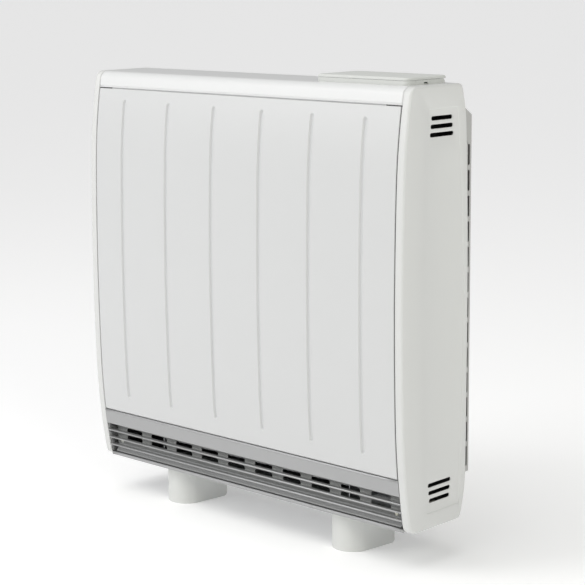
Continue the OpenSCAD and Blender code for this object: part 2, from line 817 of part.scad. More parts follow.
module scroll_end_2d() {
    translate([fan_y, fan_z]) circle(r = scroll_r + scroll_t, $fn = ROUND);
    translate([plate_y + plate_t + 4, fan_z - scroll_r - scroll_t])
        square([fan_y - plate_y - plate_t - 4, scroll_r + 16 + 2 * scroll_t]);
}

module fan_housing() color([0.7, 0.71, 0.72]) casing_frame() {
    along_x(fan_x0, fan_x1) scroll_2d();
    for (x = [fan_x0 - end_t, fan_x1]) difference() {
        along_x(x - tiny, x + end_t + tiny) scroll_end_2d();
        x_cylinder(x - 1, x + end_t + 1, 9, fan_y, fan_z);
        x_cylinder(x - 1, x + end_t + 1, damper_pin_r + run_gap, damper_y, damper_z, 24);
    }
    for (x = [fan_x0 + 20, fan_x1 - 32]) block([x, fan_y - 20, -mid_z + pan_t + 0.02],
        [x + 12, fan_y - 18, fan_z - scroll_r - scroll_t + tiny]);
}

module fan_bearing() color([0.75, 0.65, 0.4]) casing_frame() difference() {
    union() {
        x_cylinder(fan_x0 - end_t - 7, fan_x0 + 3, 8.8, fan_y, fan_z);
        x_cylinder(fan_x0 - end_t - 3.2, fan_x0 - end_t - 0.1, 13, fan_y, fan_z);
    }
    x_cylinder(fan_x0 - 20, fan_x0 + 20, shaft_r + run_gap, fan_y, fan_z);
}

motor_l = 46;

module fan_motor() color([0.3, 0.31, 0.33]) casing_frame() difference() {
    x0 = fan_x1 + end_t + 0.1;
    union() {
        x_cylinder(x0, x0 + 4, 14, fan_y, fan_z);
        x_cylinder(x0 + 4 - tiny, x0 + motor_l, 24, fan_y, fan_z);
        x_cylinder(x0 - 6, x0 + tiny, 8.8, fan_y, fan_z);
        for (turn = [45 : 90 : 315]) translate([x0 + 8, fan_y, fan_z]) rotate([turn, 0, 0])
            translate([0, -3, 0]) cube([motor_l - 16, 6, 27]);
    }
    x_cylinder(x0 - 20, x0 + motor_l - 6, shaft_r + run_gap, fan_y, fan_z);
}

module fan_shaft() color([0.8, 0.81, 0.83]) casing_frame()
    x_cylinder(fan_x0 - end_t - 6, fan_x1 + end_t + motor_l - 8, shaft_r, fan_y, fan_z);

// A cross-flow wheel: three discs carrying a ring of curved blades
module fan_impeller() color([0.78, 0.79, 0.8]) casing_frame() {
    x0 = fan_x0 + 10;
    disc_t = 2;
    for (k = [0, 1, 2]) difference() {
        x = x0 + k * (impeller_l - disc_t) / 2;
        x_cylinder(x, x + disc_t, impeller_r, fan_y, fan_z, 64);
        x_cylinder(x - 1, x + disc_t + 1, shaft_r + 0.01, fan_y, fan_z);
    }
    blade_r = 8;
    along_x(x0, x0 + impeller_l) translate([fan_y, fan_z]) for (k = [0 : blade_count - 1])
        rotate(k * 360 / blade_count) translate([impeller_r - 4.4, 0]) intersection() {
            difference() {
                translate([0, -blade_r]) circle(r = blade_r, $fn = SMALL);
                translate([0, -blade_r]) circle(r = blade_r - 0.8, $fn = SMALL);
            }
            polygon([[-3.6, -4], [3.8, -4], [3.8, 1], [-3.6, 1]]);
        }
}

damper_pin_r = 2;
damper_y = 58;
damper_z = fan_z + 11;
flap_l = impeller_l - 4;
flap_h = 24;

module damper_flap() color([0.66, 0.67, 0.68]) casing_frame() difference() {
    union() {
        x_cylinder(-flap_l / 2, flap_l / 2, 4, damper_y, damper_z);
        block([-flap_l / 2, damper_y - 0.6, damper_z - flap_h], [flap_l / 2, damper_y + 0.6, damper_z]);
        block([-6, damper_y + 3, damper_z - 1], [6, damper_y + 12.5, damper_z + 1]);
    }
    x_cylinder(-flap_l, flap_l, damper_pin_r + run_gap, damper_y, damper_z);
}

module damper_pins() color([0.8, 0.81, 0.83]) casing_frame() for (side = [0, 1]) mirror([side, 0, 0])
    x_cylinder(flap_l / 2 - 14, fan_x1 + end_t + 2, damper_pin_r, damper_y, damper_z, 24);

// The strip bends with heat and lifts the damper's arm
module bimetal_strip() color([0.72, 0.6, 0.42]) casing_frame() {
    strip_t = 0.8;
    y0 = damper_y + 10;
    z0 = damper_z + 1 + fit;
    block([-5, y0, z0], [5, y0 + strip_t, fan_z + scroll_r]);
    block([-5, y0, fan_z + scroll_r - strip_t], [5, y0 + 20, fan_z + scroll_r]);
    block([-5, y0 + 19, fan_z + scroll_r - strip_t], [5, y0 + 20, shelf_z - tiny]);
}

// ---------- Electrical parts in the right-hand end ----------

chamber_x = chassis_x + chassis_t;

module terminal_block() color([0.9, 0.9, 0.86]) casing_frame() difference() {
    y0 = 96;
    z0 = -mid_z + 6;
    poles = 3;
    pole_pitch = 12;
    block([chamber_x + tiny, y0, z0], [chamber_x + 20, y0 + poles * pole_pitch, z0 + 16]);
    for (k = [0 : poles - 1]) {
        y = y0 + (k + 0.5) * pole_pitch;
        translate([chamber_x + 8, y, z0 + 8]) cylinder(h = 10, r = 2.6, $fn = 24);
        x_cylinder(chamber_x + 12, chamber_x + 22, 2.2, y, z0 + 6, 24);
    }
}

// Circuit board on four posts, with relays, a heat sink and a capacitor
module power_board() color([0.16, 0.36, 0.24]) casing_frame() {
    z0 = -60;
    y0 = 84;
    board = [1.6, 44, 150];
    x0 = chamber_x + 5;
    x1 = x0 + board.x - tiny;
    translate([x0, y0, z0]) cube(board);
    for (y = [5, board.y - 5], z = [6, board.z - 6])
        x_cylinder(chamber_x + tiny, x0 + tiny, 2.6, y0 + y, z0 + z, 24);
    for (k = [0, 1]) block([x1, y0 + 3 + 20 * k, z0 + 100], [x0 + 13, y0 + 19 + 20 * k, z0 + 128]);
    for (k = [0 : 4]) block([x1, y0 + 6 + 7 * k, z0 + 14], [x0 + 14, y0 + 8 + 7 * k, z0 + 50]);
    x_cylinder(x1, x0 + 14, 7, y0 + 22, z0 + 74, 32);
}

cutout_y = 108;
cutout_z = 190;
reset_travel = 1.2;
cutout_x = chamber_x + 9;

module limit_cutout() color([0.85, 0.84, 0.8]) casing_frame() difference() {
    union() {
        x_cylinder(chamber_x + tiny, chamber_x + 2, 11, cutout_y, cutout_z);
        x_cylinder(chamber_x + 1.9, cutout_x, 8.5, cutout_y, cutout_z);
    }
    x_cylinder(cutout_x - 3, cutout_x + 1, 3.2 + fit, cutout_y, cutout_z, 32);
    x_cylinder(cutout_x - 7, cutout_x - 2, 1.6 + fit, cutout_y, cutout_z, 24);
}

module reset_button() color([0.75, 0.2, 0.16]) casing_frame() {
    x_cylinder(cutout_x - 3 + reset_travel + 0.1, cutout_x + 3, 3.2, cutout_y, cutout_z, 32);
    x_cylinder(cutout_x - 7 + reset_travel + 0.1, cutout_x, 1.6, cutout_y, cutout_z, 24);
}

// ---------- Feet ----------

// Plan of a foot in (X, Y), drawn in from every side: a round nose and flared sides
module foot_plan(inset = 0) {
    half = foot_w / 2 - inset;
    nose_r = foot_nose_r - inset;
    nose_y = foot_front_y + foot_nose_r;
    nose_a = asin(half / nose_r);
    steps = 24;
    back_y = foot_back_y - inset;
    polygon(concat([for (k = [0 : steps]) let (a = nose_a * (2 * k / steps - 1))
            [nose_r * sin(a), nose_y - nose_r * cos(a)]],
        [[half + foot_flare, back_y], [-half - foot_flare, back_y]]));
}

bracket_half = foot_w / 2 - foot_wall - 2;
bracket_y0 = foot_front_y + 20;
bracket_y1 = foot_back_y - foot_wall - 6;

module foot_shroud() difference() {
    chamfer = 4;
    intersection() {
        linear_extrude(foot_h - tiny) foot_plan();
        along_x(-foot_w, foot_w) polygon([[0, -1], [foot_back_y - chamfer - 1, -1],
            [foot_back_y + 2, chamfer + 2], [foot_back_y + 2, foot_h + 1], [0, foot_h + 1]]);
    }
    translate([0, 0, -1]) linear_extrude(foot_h - foot_wall + 1) foot_plan(foot_wall);
    block([-bracket_half - fit, bracket_y0 - fit, foot_h - foot_wall - 1],
        [bracket_half + fit, bracket_y1 + fit, foot_h + 1]);
}

module foot_bracket() {
    t = 2;
    half = bracket_half;
    y0 = bracket_y0;
    y1 = bracket_y1;
    difference() {
        union() {
            block([-half, y0, 0], [half, y1, t]);
            for (side = [-1, 1]) block([min(side * half, side * (half - t)), y0, 0],
                [max(side * half, side * (half - t)), y1, foot_h - 2 * tiny]);
            for (side = [0, 1]) mirror([side, 0, 0])
                block([half - 14, y0, foot_h - t], [half, y1, foot_h - 2 * tiny]);
        }
        translate([0, floor_hole_y, -1]) cylinder(h = t + 2, r = floor_hole_r, $fn = SMALL);
        for (x = [-foot_screw_dx, foot_screw_dx], y = foot_screw_ys) translate([x, y, foot_h - 10])
            cylinder(h = 20, r = screw_r + 0.1, $fn = 24);
    }
}

floor_hole_y = 92;
floor_hole_r = 4;
foot_screw_dx = foot_w / 2 - foot_wall - 9;
foot_screw_ys = [72, 108];
foot_screw_xs = [for (side = [-1, 1], dx = [-1, 1]) side * foot_pitch / 2 + dx * foot_screw_dx];

module foot_shroud_left() color([0.86, 0.87, 0.86]) heater_frame()
    translate([-foot_pitch / 2, 0, 0]) foot_shroud();
module foot_shroud_right() color([0.86, 0.87, 0.86]) heater_frame()
    translate([foot_pitch / 2, 0, 0]) foot_shroud();
module foot_bracket_left() color([0.6, 0.61, 0.62]) heater_frame()
    translate([-foot_pitch / 2, 0, 0]) foot_bracket();
module foot_bracket_right() color([0.6, 0.61, 0.62]) heater_frame()
    translate([foot_pitch / 2, 0, 0]) foot_bracket();

module foot_screws() color([0.75, 0.76, 0.78]) heater_frame()
    for (x = foot_screw_xs, y = foot_screw_ys)
        translate([x, y, foot_h - 2 - 0.02]) rotate([90, 0, 0]) screw(6);

// ---------- Control pod ----------

pod_right_x = casing_w / 2 - pod_end;
pod_x = pod_right_x - pod_w / 2;
pod_z = mid_z;
base_d = lid_d - 2;
base_slope = 8;
hinge_y = pod_front_y + lid_d - 4;
hinge_z = pod_z + pod_base_h + 0.8;
knuckle_r = 2;
lid_pin_r = 1;
knuckle_xs = [pod_x - pod_w / 2 + 18, pod_x + pod_w / 2 - 18];
lid_wall = 1.6;
deck_t = 1.2;
deck_z = pod_z + pod_base_h - deck_t;
deck_inset = 3;
spigot_x = pod_x + 20;
spigot_y = pod_front_y + 62;
spigot_r = 8;
key_xs = [for (k = [0 : 4]) pod_x + 2 + k * (key_w + 4)];
key_y = pod_front_y + (base_d - base_slope) / 2;
key_h = 8;
window = [56, 26];
window_x = pod_x - 46;

module pod_plan(depth, inset = 0) translate([pod_x, pod_front_y + depth / 2])
    rounded_2d([pod_w - 2 * inset, depth - 2 * inset], max(pod_corner_r - inset, 1));

module control_base() color([0.84, 0.85, 0.84]) casing_frame() difference() {
    union() {
        difference() {
            translate([0, 0, pod_z + tiny]) linear_extrude(pod_base_h - tiny) pod_plan(base_d);
            slope_cut();
        }
        translate([spigot_x, spigot_y, pod_z - 12]) cylinder(h = 13, r = spigot_r, $fn = SMALL);
        for (x = knuckle_xs) {
            x_cylinder(x - 4, x + 4, knuckle_r, hinge_y, hinge_z);
            block([x - 4, hinge_y - 9, hinge_z - knuckle_r], [x + 4, hinge_y, hinge_z]);
        }
    }
    translate([0, 0, pod_z + 1.4]) linear_extrude(pod_base_h) pod_plan(base_d - base_slope, 2);
    translate([0, 0, deck_z]) linear_extrude(pod_base_h)
        pod_plan(base_d - base_slope, deck_inset - 1.5);
    translate([spigot_x, spigot_y, pod_z - 13]) cylinder(h = 20, r = spigot_r - 2, $fn = SMALL);
    for (x = knuckle_xs) x_cylinder(x - 5, x + 5, lid_pin_r + 0.02, hinge_y, hinge_z, 32);
    end_openings();
}

// The base's back leans away under the lid
module slope_cut() {
    back = pod_front_y + base_d;
    top = pod_z + pod_base_h;
    along_x(pod_x - pod_w / 2 - 1, pod_right_x + 1) polygon([[back, pod_z - tiny],
        [back + 5, pod_z - tiny], [back + 5, top + 1], [back - base_slope, top + 1],
        [back - base_slope, top]]);
}

// The air opening and the small pry notch in the base's right end
module end_openings() {
    translate([pod_right_x - 3, pod_front_y + 36, pod_z - 1]) rotate([90, 0, 90]) linear_extrude(5)
        polygon([[0, 0], [13, 0], [10.4, 4.5], [2.6, 4.5]]);
    block([pod_right_x - 0.8, pod_front_y + 18.4, pod_z + 2.6],
        [pod_right_x + 1, pod_front_y + 19.6, pod_z + pod_base_h + 1]);
}

module control_deck() color([0.2, 0.21, 0.22]) casing_frame() difference() {
    translate([0, 0, deck_z + tiny]) linear_extrude(deck_t - tiny)
        pod_plan(base_d - base_slope, deck_inset - 1.2);
    translate([window_x, key_y, deck_z - 1]) linear_extrude(4) rounded_2d(window, 2);
    for (x = key_xs) translate([x, key_y, deck_z - 1]) linear_extrude(4)
        rounded_2d([key_w + 2 * fit, key_h + 2 * fit], 2 + fit);
}

module display_window() color([0.3, 0.42, 0.46]) casing_frame() {
    translate([window_x, key_y, deck_z - 0.8]) linear_extrude(deck_t + 0.8)
        rounded_2d(window - [0.2, 0.2], 1.9);
    translate([window_x, key_y, deck_z - 1.6]) linear_extrude(1) rounded_2d(window + [2, 2], 2);
}

board_z = pod_z + 1.4 + 0.02;

// The board carries the display's body and a push switch under each key
module control_board() color([0.14, 0.34, 0.22]) casing_frame() {
    board_t = 1.4;
    foot_z = board_z + board_t - 0.1;
    translate([0, 0, board_z]) linear_extrude(board_t) difference() {
        translate([pod_x, key_y]) square([pod_w - 14, base_d - base_slope - 14], center = true);
        translate([spigot_x, spigot_y]) circle(r = spigot_r, $fn = SMALL);
    }
    translate([window_x, key_y, foot_z]) linear_extrude(deck_z - 1.7 - foot_z)
        square(window - [2, 2], center = true);
    for (x = key_xs) translate([x, key_y, foot_z])
        linear_extrude(deck_z - 1.2 - key_travel - fit - foot_z) square([5, 5], center = true);
}

// A key cap with a flange that holds it under the deck
module key(index) color([0.78, 0.79, 0.8]) casing_frame() translate([key_xs[index], key_y, 0]) {
    translate([0, 0, deck_z - 1.2]) linear_extrude(deck_t + 1.2 + 1) rounded_2d([key_w, key_h], 2);
    translate([0, 0, deck_z - 1.2]) linear_extrude(1) rounded_2d([key_w + 2, key_h + 2], 2);
}
module key_menu() key(0);
module key_back() key(1);
module key_up() key(2);
module key_down() key(3);
module key_boost() key(4);

// The lid, with a knuckle on each side of the base's knuckles
module control_lid() color([0.84, 0.85, 0.84]) casing_frame() {
    z0 = pod_z + pod_base_h + lid_gap;
    z1 = z0 + lid_h;
    difference() {
        hull() for (turn = [0, 30, 60, 90]) translate([0, 0, z0])
            linear_extrude(lid_h - lid_edge_r * (1 - sin(turn)))
                pod_plan(lid_d, lid_edge_r * (1 - cos(turn)));
        translate([0, 0, z0 - 1]) linear_extrude(lid_h - lid_wall + 1) pod_plan(lid_d, lid_wall);
    }
    for (x = knuckle_xs, side = [-1, 1]) difference() {
        union() {
            x_cylinder(x + side * 6.4 - 2, x + side * 6.4 + 2, knuckle_r, hinge_y, hinge_z);
            block([x + side * 6.4 - 2, hinge_y - knuckle_r, hinge_z],
                [x + side * 6.4 + 2, hinge_y + knuckle_r, z1 - lid_wall + tiny]);
        }
        x_cylinder(x - 10, x + 10, lid_pin_r + run_gap, hinge_y, hinge_z, 32);
    }
}

module lid_pins() color([0.8, 0.81, 0.83]) casing_frame() for (x = knuckle_xs)
    x_cylinder(x - 8, x + 8, lid_pin_r, hinge_y, hinge_z, 32);

side_panel_left();
side_panel_right();
front_panel();
top_cover();
back_panel();
wall_spacer();
wall_bracket();
spacer_screws();
base_pan();
cable_gland();
outlet_grille();
outlet_plate();
outlet_deflector();
outlet_screws();
chassis_end_left();
chassis_end_right();
foot_shroud_left();
foot_shroud_right();
foot_bracket_left();
foot_bracket_right();
foot_screws();
core_shelf();
brick_row_1();
brick_row_2();
brick_row_3();
brick_row_4();
brick_row_5();
brick_row_6();
element_lower();
element_middle();
element_upper();
insulation_front();
insulation_back();
insulation_top();
insulation_base();
insulation_left();
insulation_right();
fan_housing();
fan_bearing();
fan_motor();
fan_shaft();
fan_impeller();
damper_flap();
damper_pins();
bimetal_strip();
terminal_block();
power_board();
limit_cutout();
reset_button();
control_base();
control_deck();
control_board();
display_window();
key_menu();
key_back();
key_up();
key_down();
key_boost();
control_lid();
lid_pins();
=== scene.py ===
"""Looks of a fan-assisted storage heater, dressed round its packed construction.

Lengths are metres in the row's frame: X along the heater, -Y out of its front, Z up from the
floor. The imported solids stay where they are. The sheet casing, the end mouldings and the screws
are modelled again here with soft edges, and stand for their solids.
"""

from __future__ import annotations

import json
import logging
import math
from dataclasses import dataclass
from enum import Enum
from typing import Callable, Iterable, Sequence

import bmesh
import bpy
from mathutils import Matrix, Vector

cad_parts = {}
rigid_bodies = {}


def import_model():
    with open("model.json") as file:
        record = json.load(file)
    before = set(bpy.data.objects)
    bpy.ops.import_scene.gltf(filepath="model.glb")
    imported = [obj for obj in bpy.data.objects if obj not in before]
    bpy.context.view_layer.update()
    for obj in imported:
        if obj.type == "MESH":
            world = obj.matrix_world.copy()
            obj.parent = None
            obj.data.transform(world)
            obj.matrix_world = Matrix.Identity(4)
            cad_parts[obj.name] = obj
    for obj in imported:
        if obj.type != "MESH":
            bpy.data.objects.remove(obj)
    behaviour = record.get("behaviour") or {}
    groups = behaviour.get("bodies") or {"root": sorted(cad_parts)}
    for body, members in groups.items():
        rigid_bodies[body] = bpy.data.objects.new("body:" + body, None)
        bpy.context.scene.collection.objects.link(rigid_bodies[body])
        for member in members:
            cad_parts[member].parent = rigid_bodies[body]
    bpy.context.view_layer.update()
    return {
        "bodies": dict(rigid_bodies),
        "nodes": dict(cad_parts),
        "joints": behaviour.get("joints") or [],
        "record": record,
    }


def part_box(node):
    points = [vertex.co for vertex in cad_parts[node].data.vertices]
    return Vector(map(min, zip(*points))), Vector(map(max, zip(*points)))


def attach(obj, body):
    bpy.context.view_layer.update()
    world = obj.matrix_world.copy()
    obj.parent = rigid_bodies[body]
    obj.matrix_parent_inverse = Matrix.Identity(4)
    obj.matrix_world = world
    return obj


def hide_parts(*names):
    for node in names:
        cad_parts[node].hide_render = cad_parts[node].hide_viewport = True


LOG = logging.getLogger("heater")
MM = 0.001
QUARTER = math.pi / 2
ROOT_BODY = "heater"

Point = tuple[float, float, float]
Colour = tuple[float, float, float]
Span = tuple[float, float]
Ring = list[bmesh.types.BMVert]
Socket = bpy.types.NodeSocket

WHITE_LIGHT: Colour = (1.0, 1.0, 1.0)


def even(first: float, last: float, steps: int) -> list[float]:
    """Evenly spaced values from first to last, with both."""
    return [first + (last - first) * k / steps for k in range(steps + 1)]


def quarter_turn(steps: int) -> list[Span]:
    """The cosine and sine at even steps over a quarter turn."""
    return [(math.cos(a), math.sin(a)) for a in even(0.0, QUARTER, steps)]


# ---------- Finishes ----------


class Tree:
    """A node tree, with short calls that add nodes and fill their sockets."""

    def __init__(self, tree: bpy.types.NodeTree) -> None:
        """Wraps a tree."""
        self.tree = tree

    def feed(self, node: bpy.types.Node, **values: object) -> bpy.types.Node:
        """Fills a node's sockets, by their names with _ for each space.

        Args:
            node: the node.
            values: for each socket, another one to link to it or the value that it holds.

        Returns:
            The node.
        """
        for name, value in values.items():
            socket = node.inputs[name.replace("_", " ")]
            if isinstance(value, Socket):
                self.tree.links.new(value, socket)
            else:
                socket.default_value = value
        return node

    def add(self, kind: str, **values: object) -> bpy.types.Node:
        """Adds a node of a kind and fills its sockets."""
        return self.feed(self.tree.nodes.new(kind), **values)

    def spread(
        self, value: Socket, low: float, high: float, start: float = 0.0, end: float = 1.0
    ) -> Socket:
        """Maps a value's stretch from start to end onto low to high.

        Args:
            value: the value to map.
            low: result at start.
            high: result at end.
            start: value that gives low.
            end: value that gives high.

        Returns:
            The mapped value.
        """
        node = self.add("ShaderNodeMapRange", Value=value, From_Min=start, From_Max=end)
        return self.feed(node, To_Min=low, To_Max=high).outputs["Result"]


class Shade(Tree):
    """One material's node tree, with its shader and the object's coordinates."""

    def __init__(self, name: str) -> None:
        """Starts a material that holds only its shader.

        Args:
            name: the material's name.
        """
        self.material = bpy.data.materials.new(name)
        self.material.use_nodes = True
        super().__init__(self.material.node_tree)
        self.shader = self.tree.nodes["Principled BSDF"]
        self.place = self.add("ShaderNodeTexCoord").outputs["Object"]

    def blend(self, share: Socket, first: Colour, second: Colour) -> Socket:
        """Mixes two colours.

        Args:
            share: 0 gives first and 1 gives second.
            first: a colour.
            second: a colour.

        Returns:
            The mixed colour.
        """
        node = self.tree.nodes.new("ShaderNodeMix")
        node.data_type = "RGBA"
        self.feed(node, Factor=share, A=(*first, 1.0), B=(*second, 1.0))
        return next(s for s in node.outputs if s.type == "RGBA")


class Texture(Enum):
    """The textures that patterns are made of, each with its output."""

    NOISE = ("ShaderNodeTexNoise", "Fac")
    CELLS = ("ShaderNodeTexVoronoi", "Distance")
    FLAKES = ("ShaderNodeTexVoronoi", "Color")
    TRACKS = ("ShaderNodeTexBrick", "Fac")


TRACK_WIDTH = 0.06


@dataclass(frozen=True)
class Pattern:
    """A pattern fixed to the object, whose value runs from 0 to 1.

    scale counts its patches in a metre, detail and rough shape a noise's finer layers, stretch
    multiplies the axes, channel picks one part of a colour, and the values between the two of
    edge are spread over the whole range.
    """

    scale: float
    detail: float = 3.0
    rough: float = 0.5
    stretch: Point | None = None
    texture: Texture = Texture.NOISE
    channel: str = ""
    edge: Span | None = None

    def value(self, shade: Shade) -> Socket:
        """Adds the pattern to a material.

        Args:
            shade: the material's tree.

        Returns:
            Its value.
        """
        kind, output = self.texture.value
        node = shade.add(kind, Vector=shade.place, Scale=self.scale)
        if self.stretch:
            placed = shade.add("ShaderNodeMapping", Vector=shade.place, Scale=self.stretch)
            shade.feed(node, Vector=placed.outputs["Vector"])
        if self.texture is Texture.NOISE:
            shade.feed(node, Detail=self.detail, Roughness=self.rough)
        if self.texture is Texture.TRACKS:
            shade.feed(node, Mortar_Size=TRACK_WIDTH)
        value = node.outputs[output]
        if self.channel:
            value = shade.add("ShaderNodeSeparateColor", Color=value).outputs[self.channel]
        return shade.spread(value, 0.0, 1.0, *self.edge) if self.edge else value


Reliefs = tuple[tuple[Pattern, float], ...]


def toned(colour: Colour, factor: float) -> Colour:
    """A colour made lighter or darker by a factor."""
    return tuple(min(1.0, c * factor) for c in colour)


@dataclass(frozen=True)
class Finish:
    """A surface finish. Its kinds give it their patterns.

    tones holds factors on the colour, from one end of the patches to the other, where second
    may stand instead. gloss holds changes of the roughness over the shine. Reliefs run from
    the coarsest to the finest, each with its depth. extras names further shader sockets.
    """

    name: str
    colour: Colour
    roughness: float
    second: Colour | None = None
    metal: float = 0.0
    tones: Span = (1.0, 1.0)
    gloss: Span = (-0.05, 0.0)
    patches: Pattern = Pattern(24.0)
    shine: Pattern = Pattern(90.0)
    reliefs: Reliefs = ()
    extras: tuple[tuple[str, float], ...] = ()

    def material(self) -> bpy.types.Material:
        """Builds the finish, the first time it is asked for.

        Returns:
            Its material.
        """
        found = bpy.data.materials.get(self.name)
        if found:
            return found
        shade = Shade(self.name)
        first, last = (toned(self.colour, factor) for factor in self.tones)
        low, high = (self.roughness + change for change in self.gloss)
        relief: dict[str, Socket] = {}
        for pattern, depth in self.reliefs:
            bump = shade.add("ShaderNodeBump", Height=pattern.value(shade), **relief)
            shade.feed(bump, Distance=depth, Strength=1.0)
            relief = {"Normal": bump.outputs["Normal"]}
        shade.feed(
            shade.shader,
            Base_Color=shade.blend(self.patches.value(shade), first, self.second or last),
            Roughness=shade.spread(self.shine.value(shade), low, high),
            Metallic=self.metal,
            **relief,
            **dict(self.extras),
        )
        return shade.material


@dataclass(frozen=True)
class SprayedEnamel(Finish):
    """Stoved paint on sheet steel: a satin coat with faint patches and fine peel."""

    tones: Span = (0.996, 1.004)
    gloss: Span = (-0.006, 0.006)
    patches: Pattern = Pattern(7.0, 4.0)
    shine: Pattern = Pattern(6.0, 2.0)
    reliefs: Reliefs = ((Pattern(420.0, 2.0), 0.002 * MM),)


def spark_eroded(depth: float) -> Reliefs:
    """A moulding tool's texture: a grain of some depth, with pits half as deep."""
    return ((Pattern(1500.0), depth), (Pattern(900.0, texture=Texture.CELLS), depth / 2))


@dataclass(frozen=True)
class MouldedPlastic(Finish):
    """Injection-moulded plastic with flow marks and a spark-eroded texture."""

    tones: Span = (0.985, 1.015)
    gloss: Span = (-0.04, 0.06)
    patches: Pattern = Pattern(16.0, stretch=(1.0, 1.0, 3.0))
    reliefs: Reliefs = spark_eroded(0.02 * MM)


@dataclass(frozen=True)
class GalvanisedSteel(Finish):
    """Zinc-coated sheet: crystal spangle in tone and gloss, and a faint rolled grain."""

    metal: float = 1.0
    tones: Span = (0.88, 1.08)
    gloss: Span = (-0.08, 0.1)
    patches: Pattern = Pattern(90.0, texture=Texture.FLAKES, channel="Red")
    shine: Pattern = Pattern(90.0, texture=Texture.FLAKES, channel="Green")
    reliefs: Reliefs = ((Pattern(900.0, 2.0, stretch=(0.05, 1.0, 1.0)), 0.008 * MM),)


METAL_GRAIN = Pattern(1200.0, stretch=(0.1, 1.0, 1.0))


@dataclass(frozen=True)
class PlainMetal(Finish):
    """Turned, drawn or cast metal with a directional grain; its second colour is a stain."""

    metal: float = 1.0
    tones: Span = (1.0, 1.06)
    gloss: Span = (-0.06, 0.1)
    patches: Pattern = Pattern(60.0, 5.0, 0.6, edge=(0.35, 0.7))
    shine: Pattern = METAL_GRAIN
    reliefs: Reliefs = ((METAL_GRAIN, 0.006 * MM),)


BRICK_GRAINS = Pattern(700.0, texture=Texture.CELLS, edge=(0.1, 0.55))


@dataclass(frozen=True)
class PressedBrick(Finish):
    """Dense storage brick: a dark rough body with pale and rusty grains."""

    tones: Span = (1.7, 0.8)
    patches: Pattern = BRICK_GRAINS
    shine: Pattern = Pattern(50.0)
    reliefs: Reliefs = ((Pattern(140.0, 6.0, 0.65), 0.4 * MM), (BRICK_GRAINS, 0.12 * MM))


FIBRES_ALONG = Pattern(500.0, 4.0, 0.7, (0.12, 1.0, 1.0))
FIBRES_UP = Pattern(500.0, 4.0, 0.7, (1.0, 1.0, 0.12))


@dataclass(frozen=True)
class FibreBoard(Finish):
    """Pale dusty insulating board with short fibres lying along two directions."""

    tones: Span = (0.93, 1.04)
    gloss: Span = (-0.06, 0.0)
    shine: Pattern = FIBRES_ALONG
    reliefs: Reliefs = ((FIBRES_UP, 0.12 * MM), (FIBRES_ALONG, 0.12 * MM))


COPPER_TRACKS = Pattern(260.0, texture=Texture.TRACKS)


@dataclass(frozen=True)
class CircuitBoard(Finish):
    """Lacquered board: a dark resist over copper tracks, which are its second colour."""

    second: Colour = (0.06, 0.30, 0.16)
    gloss: Span = (-0.05, 0.08)
    patches: Pattern = COPPER_TRACKS
    shine: Pattern = Pattern(120.0)
    reliefs: Reliefs = ((COPPER_TRACKS, 0.03 * MM),)
    extras: tuple[tuple[str, float], ...] = (("Coat_Weight", 0.4), ("Coat_Roughness", 0.15))


@dataclass(frozen=True)
class DisplayGlass(Finish):
    """Tinted clear window over a display, with a faint haze."""

    tones: Span = (1.0, 1.1)
    gloss: Span = (0.0, 0.06)
    patches: Pattern = Pattern(30.0, 4.0)
    shine: Pattern = Pattern(30.0, 4.0)
    extras: tuple[tuple[str, float], ...] = (
        ("IOR", 1.5), ("Alpha", 0.55), ("Coat_Weight", 1.0), ("Coat_Roughness", 0.03),
    )


WHITE = SprayedEnamel("enamel_white", (0.64, 0.645, 0.647), 0.33)
# A lighter copy of the white enamel for the top cover: painted light, the extra brightness of the
# top where the lamps fall on it.
LIT_COVER_WHITE = SprayedEnamel("enamel_cover_white", (0.745, 0.75, 0.752), 0.33)
MOULDING = SprayedEnamel("enamel_side_grey", (0.69, 0.695, 0.685), 0.36)
SILVER = SprayedEnamel("enamel_silver", (0.40, 0.402, 0.405), 0.34, metal=0.5)
OUTLET = SprayedEnamel("enamel_outlet", (0.26, 0.265, 0.26), 0.42)
DEFLECTOR = SprayedEnamel("enamel_deflector", (0.35, 0.355, 0.355), 0.42)
SPACER = SprayedEnamel("enamel_spacer", (0.47, 0.47, 0.46), 0.55)
# Near-black chassis ends: painted shade, so the insides of the vent slots look dark. It is not the
# ends' own colour.
CHASSIS_PAINTED_SHADE = SprayedEnamel("enamel_chassis", (0.03, 0.03, 0.032), 0.5)
MOTOR = SprayedEnamel("motor_paint", (0.05, 0.05, 0.055), 0.45)
GALVANISED = GalvanisedSteel("galvanised", (0.46, 0.47, 0.48), 0.42)
FOOT = MouldedPlastic("foot_plastic", (0.70, 0.705, 0.695), 0.46)
POD = MouldedPlastic("pod_plastic", (0.96, 0.962, 0.955), 0.34)
KEYS = MouldedPlastic("key_plastic", (0.50, 0.51, 0.52), 0.38)
DECK_TEXTURE = spark_eroded(0.004 * MM)
DECK = MouldedPlastic("deck_plastic", (0.045, 0.047, 0.05), 0.22, reliefs=DECK_TEXTURE)
TERMINALS = MouldedPlastic("terminal_plastic", (0.80, 0.77, 0.66), 0.5)
CUTOUT = MouldedPlastic("cutout_body", (0.78, 0.75, 0.68), 0.42)
RESET = MouldedPlastic("reset_plastic", (0.55, 0.05, 0.035), 0.35)
GLAND = MouldedPlastic("gland_rubber", (0.03, 0.03, 0.03), 0.7)
ZINC = PlainMetal("zinc_plate", (0.66, 0.68, 0.69), 0.30, (0.72, 0.70, 0.58))
SHEATH = PlainMetal("element_sheath", (0.16, 0.13, 0.12), 0.5, (0.26, 0.17, 0.12))
BRONZE = PlainMetal("bearing_bronze", (0.62, 0.46, 0.22), 0.34)
FAN = PlainMetal("fan_aluminium", (0.76, 0.77, 0.78), 0.32)
BIMETAL = PlainMetal("bimetal", (0.62, 0.53, 0.36), 0.3, (0.5, 0.5, 0.5))
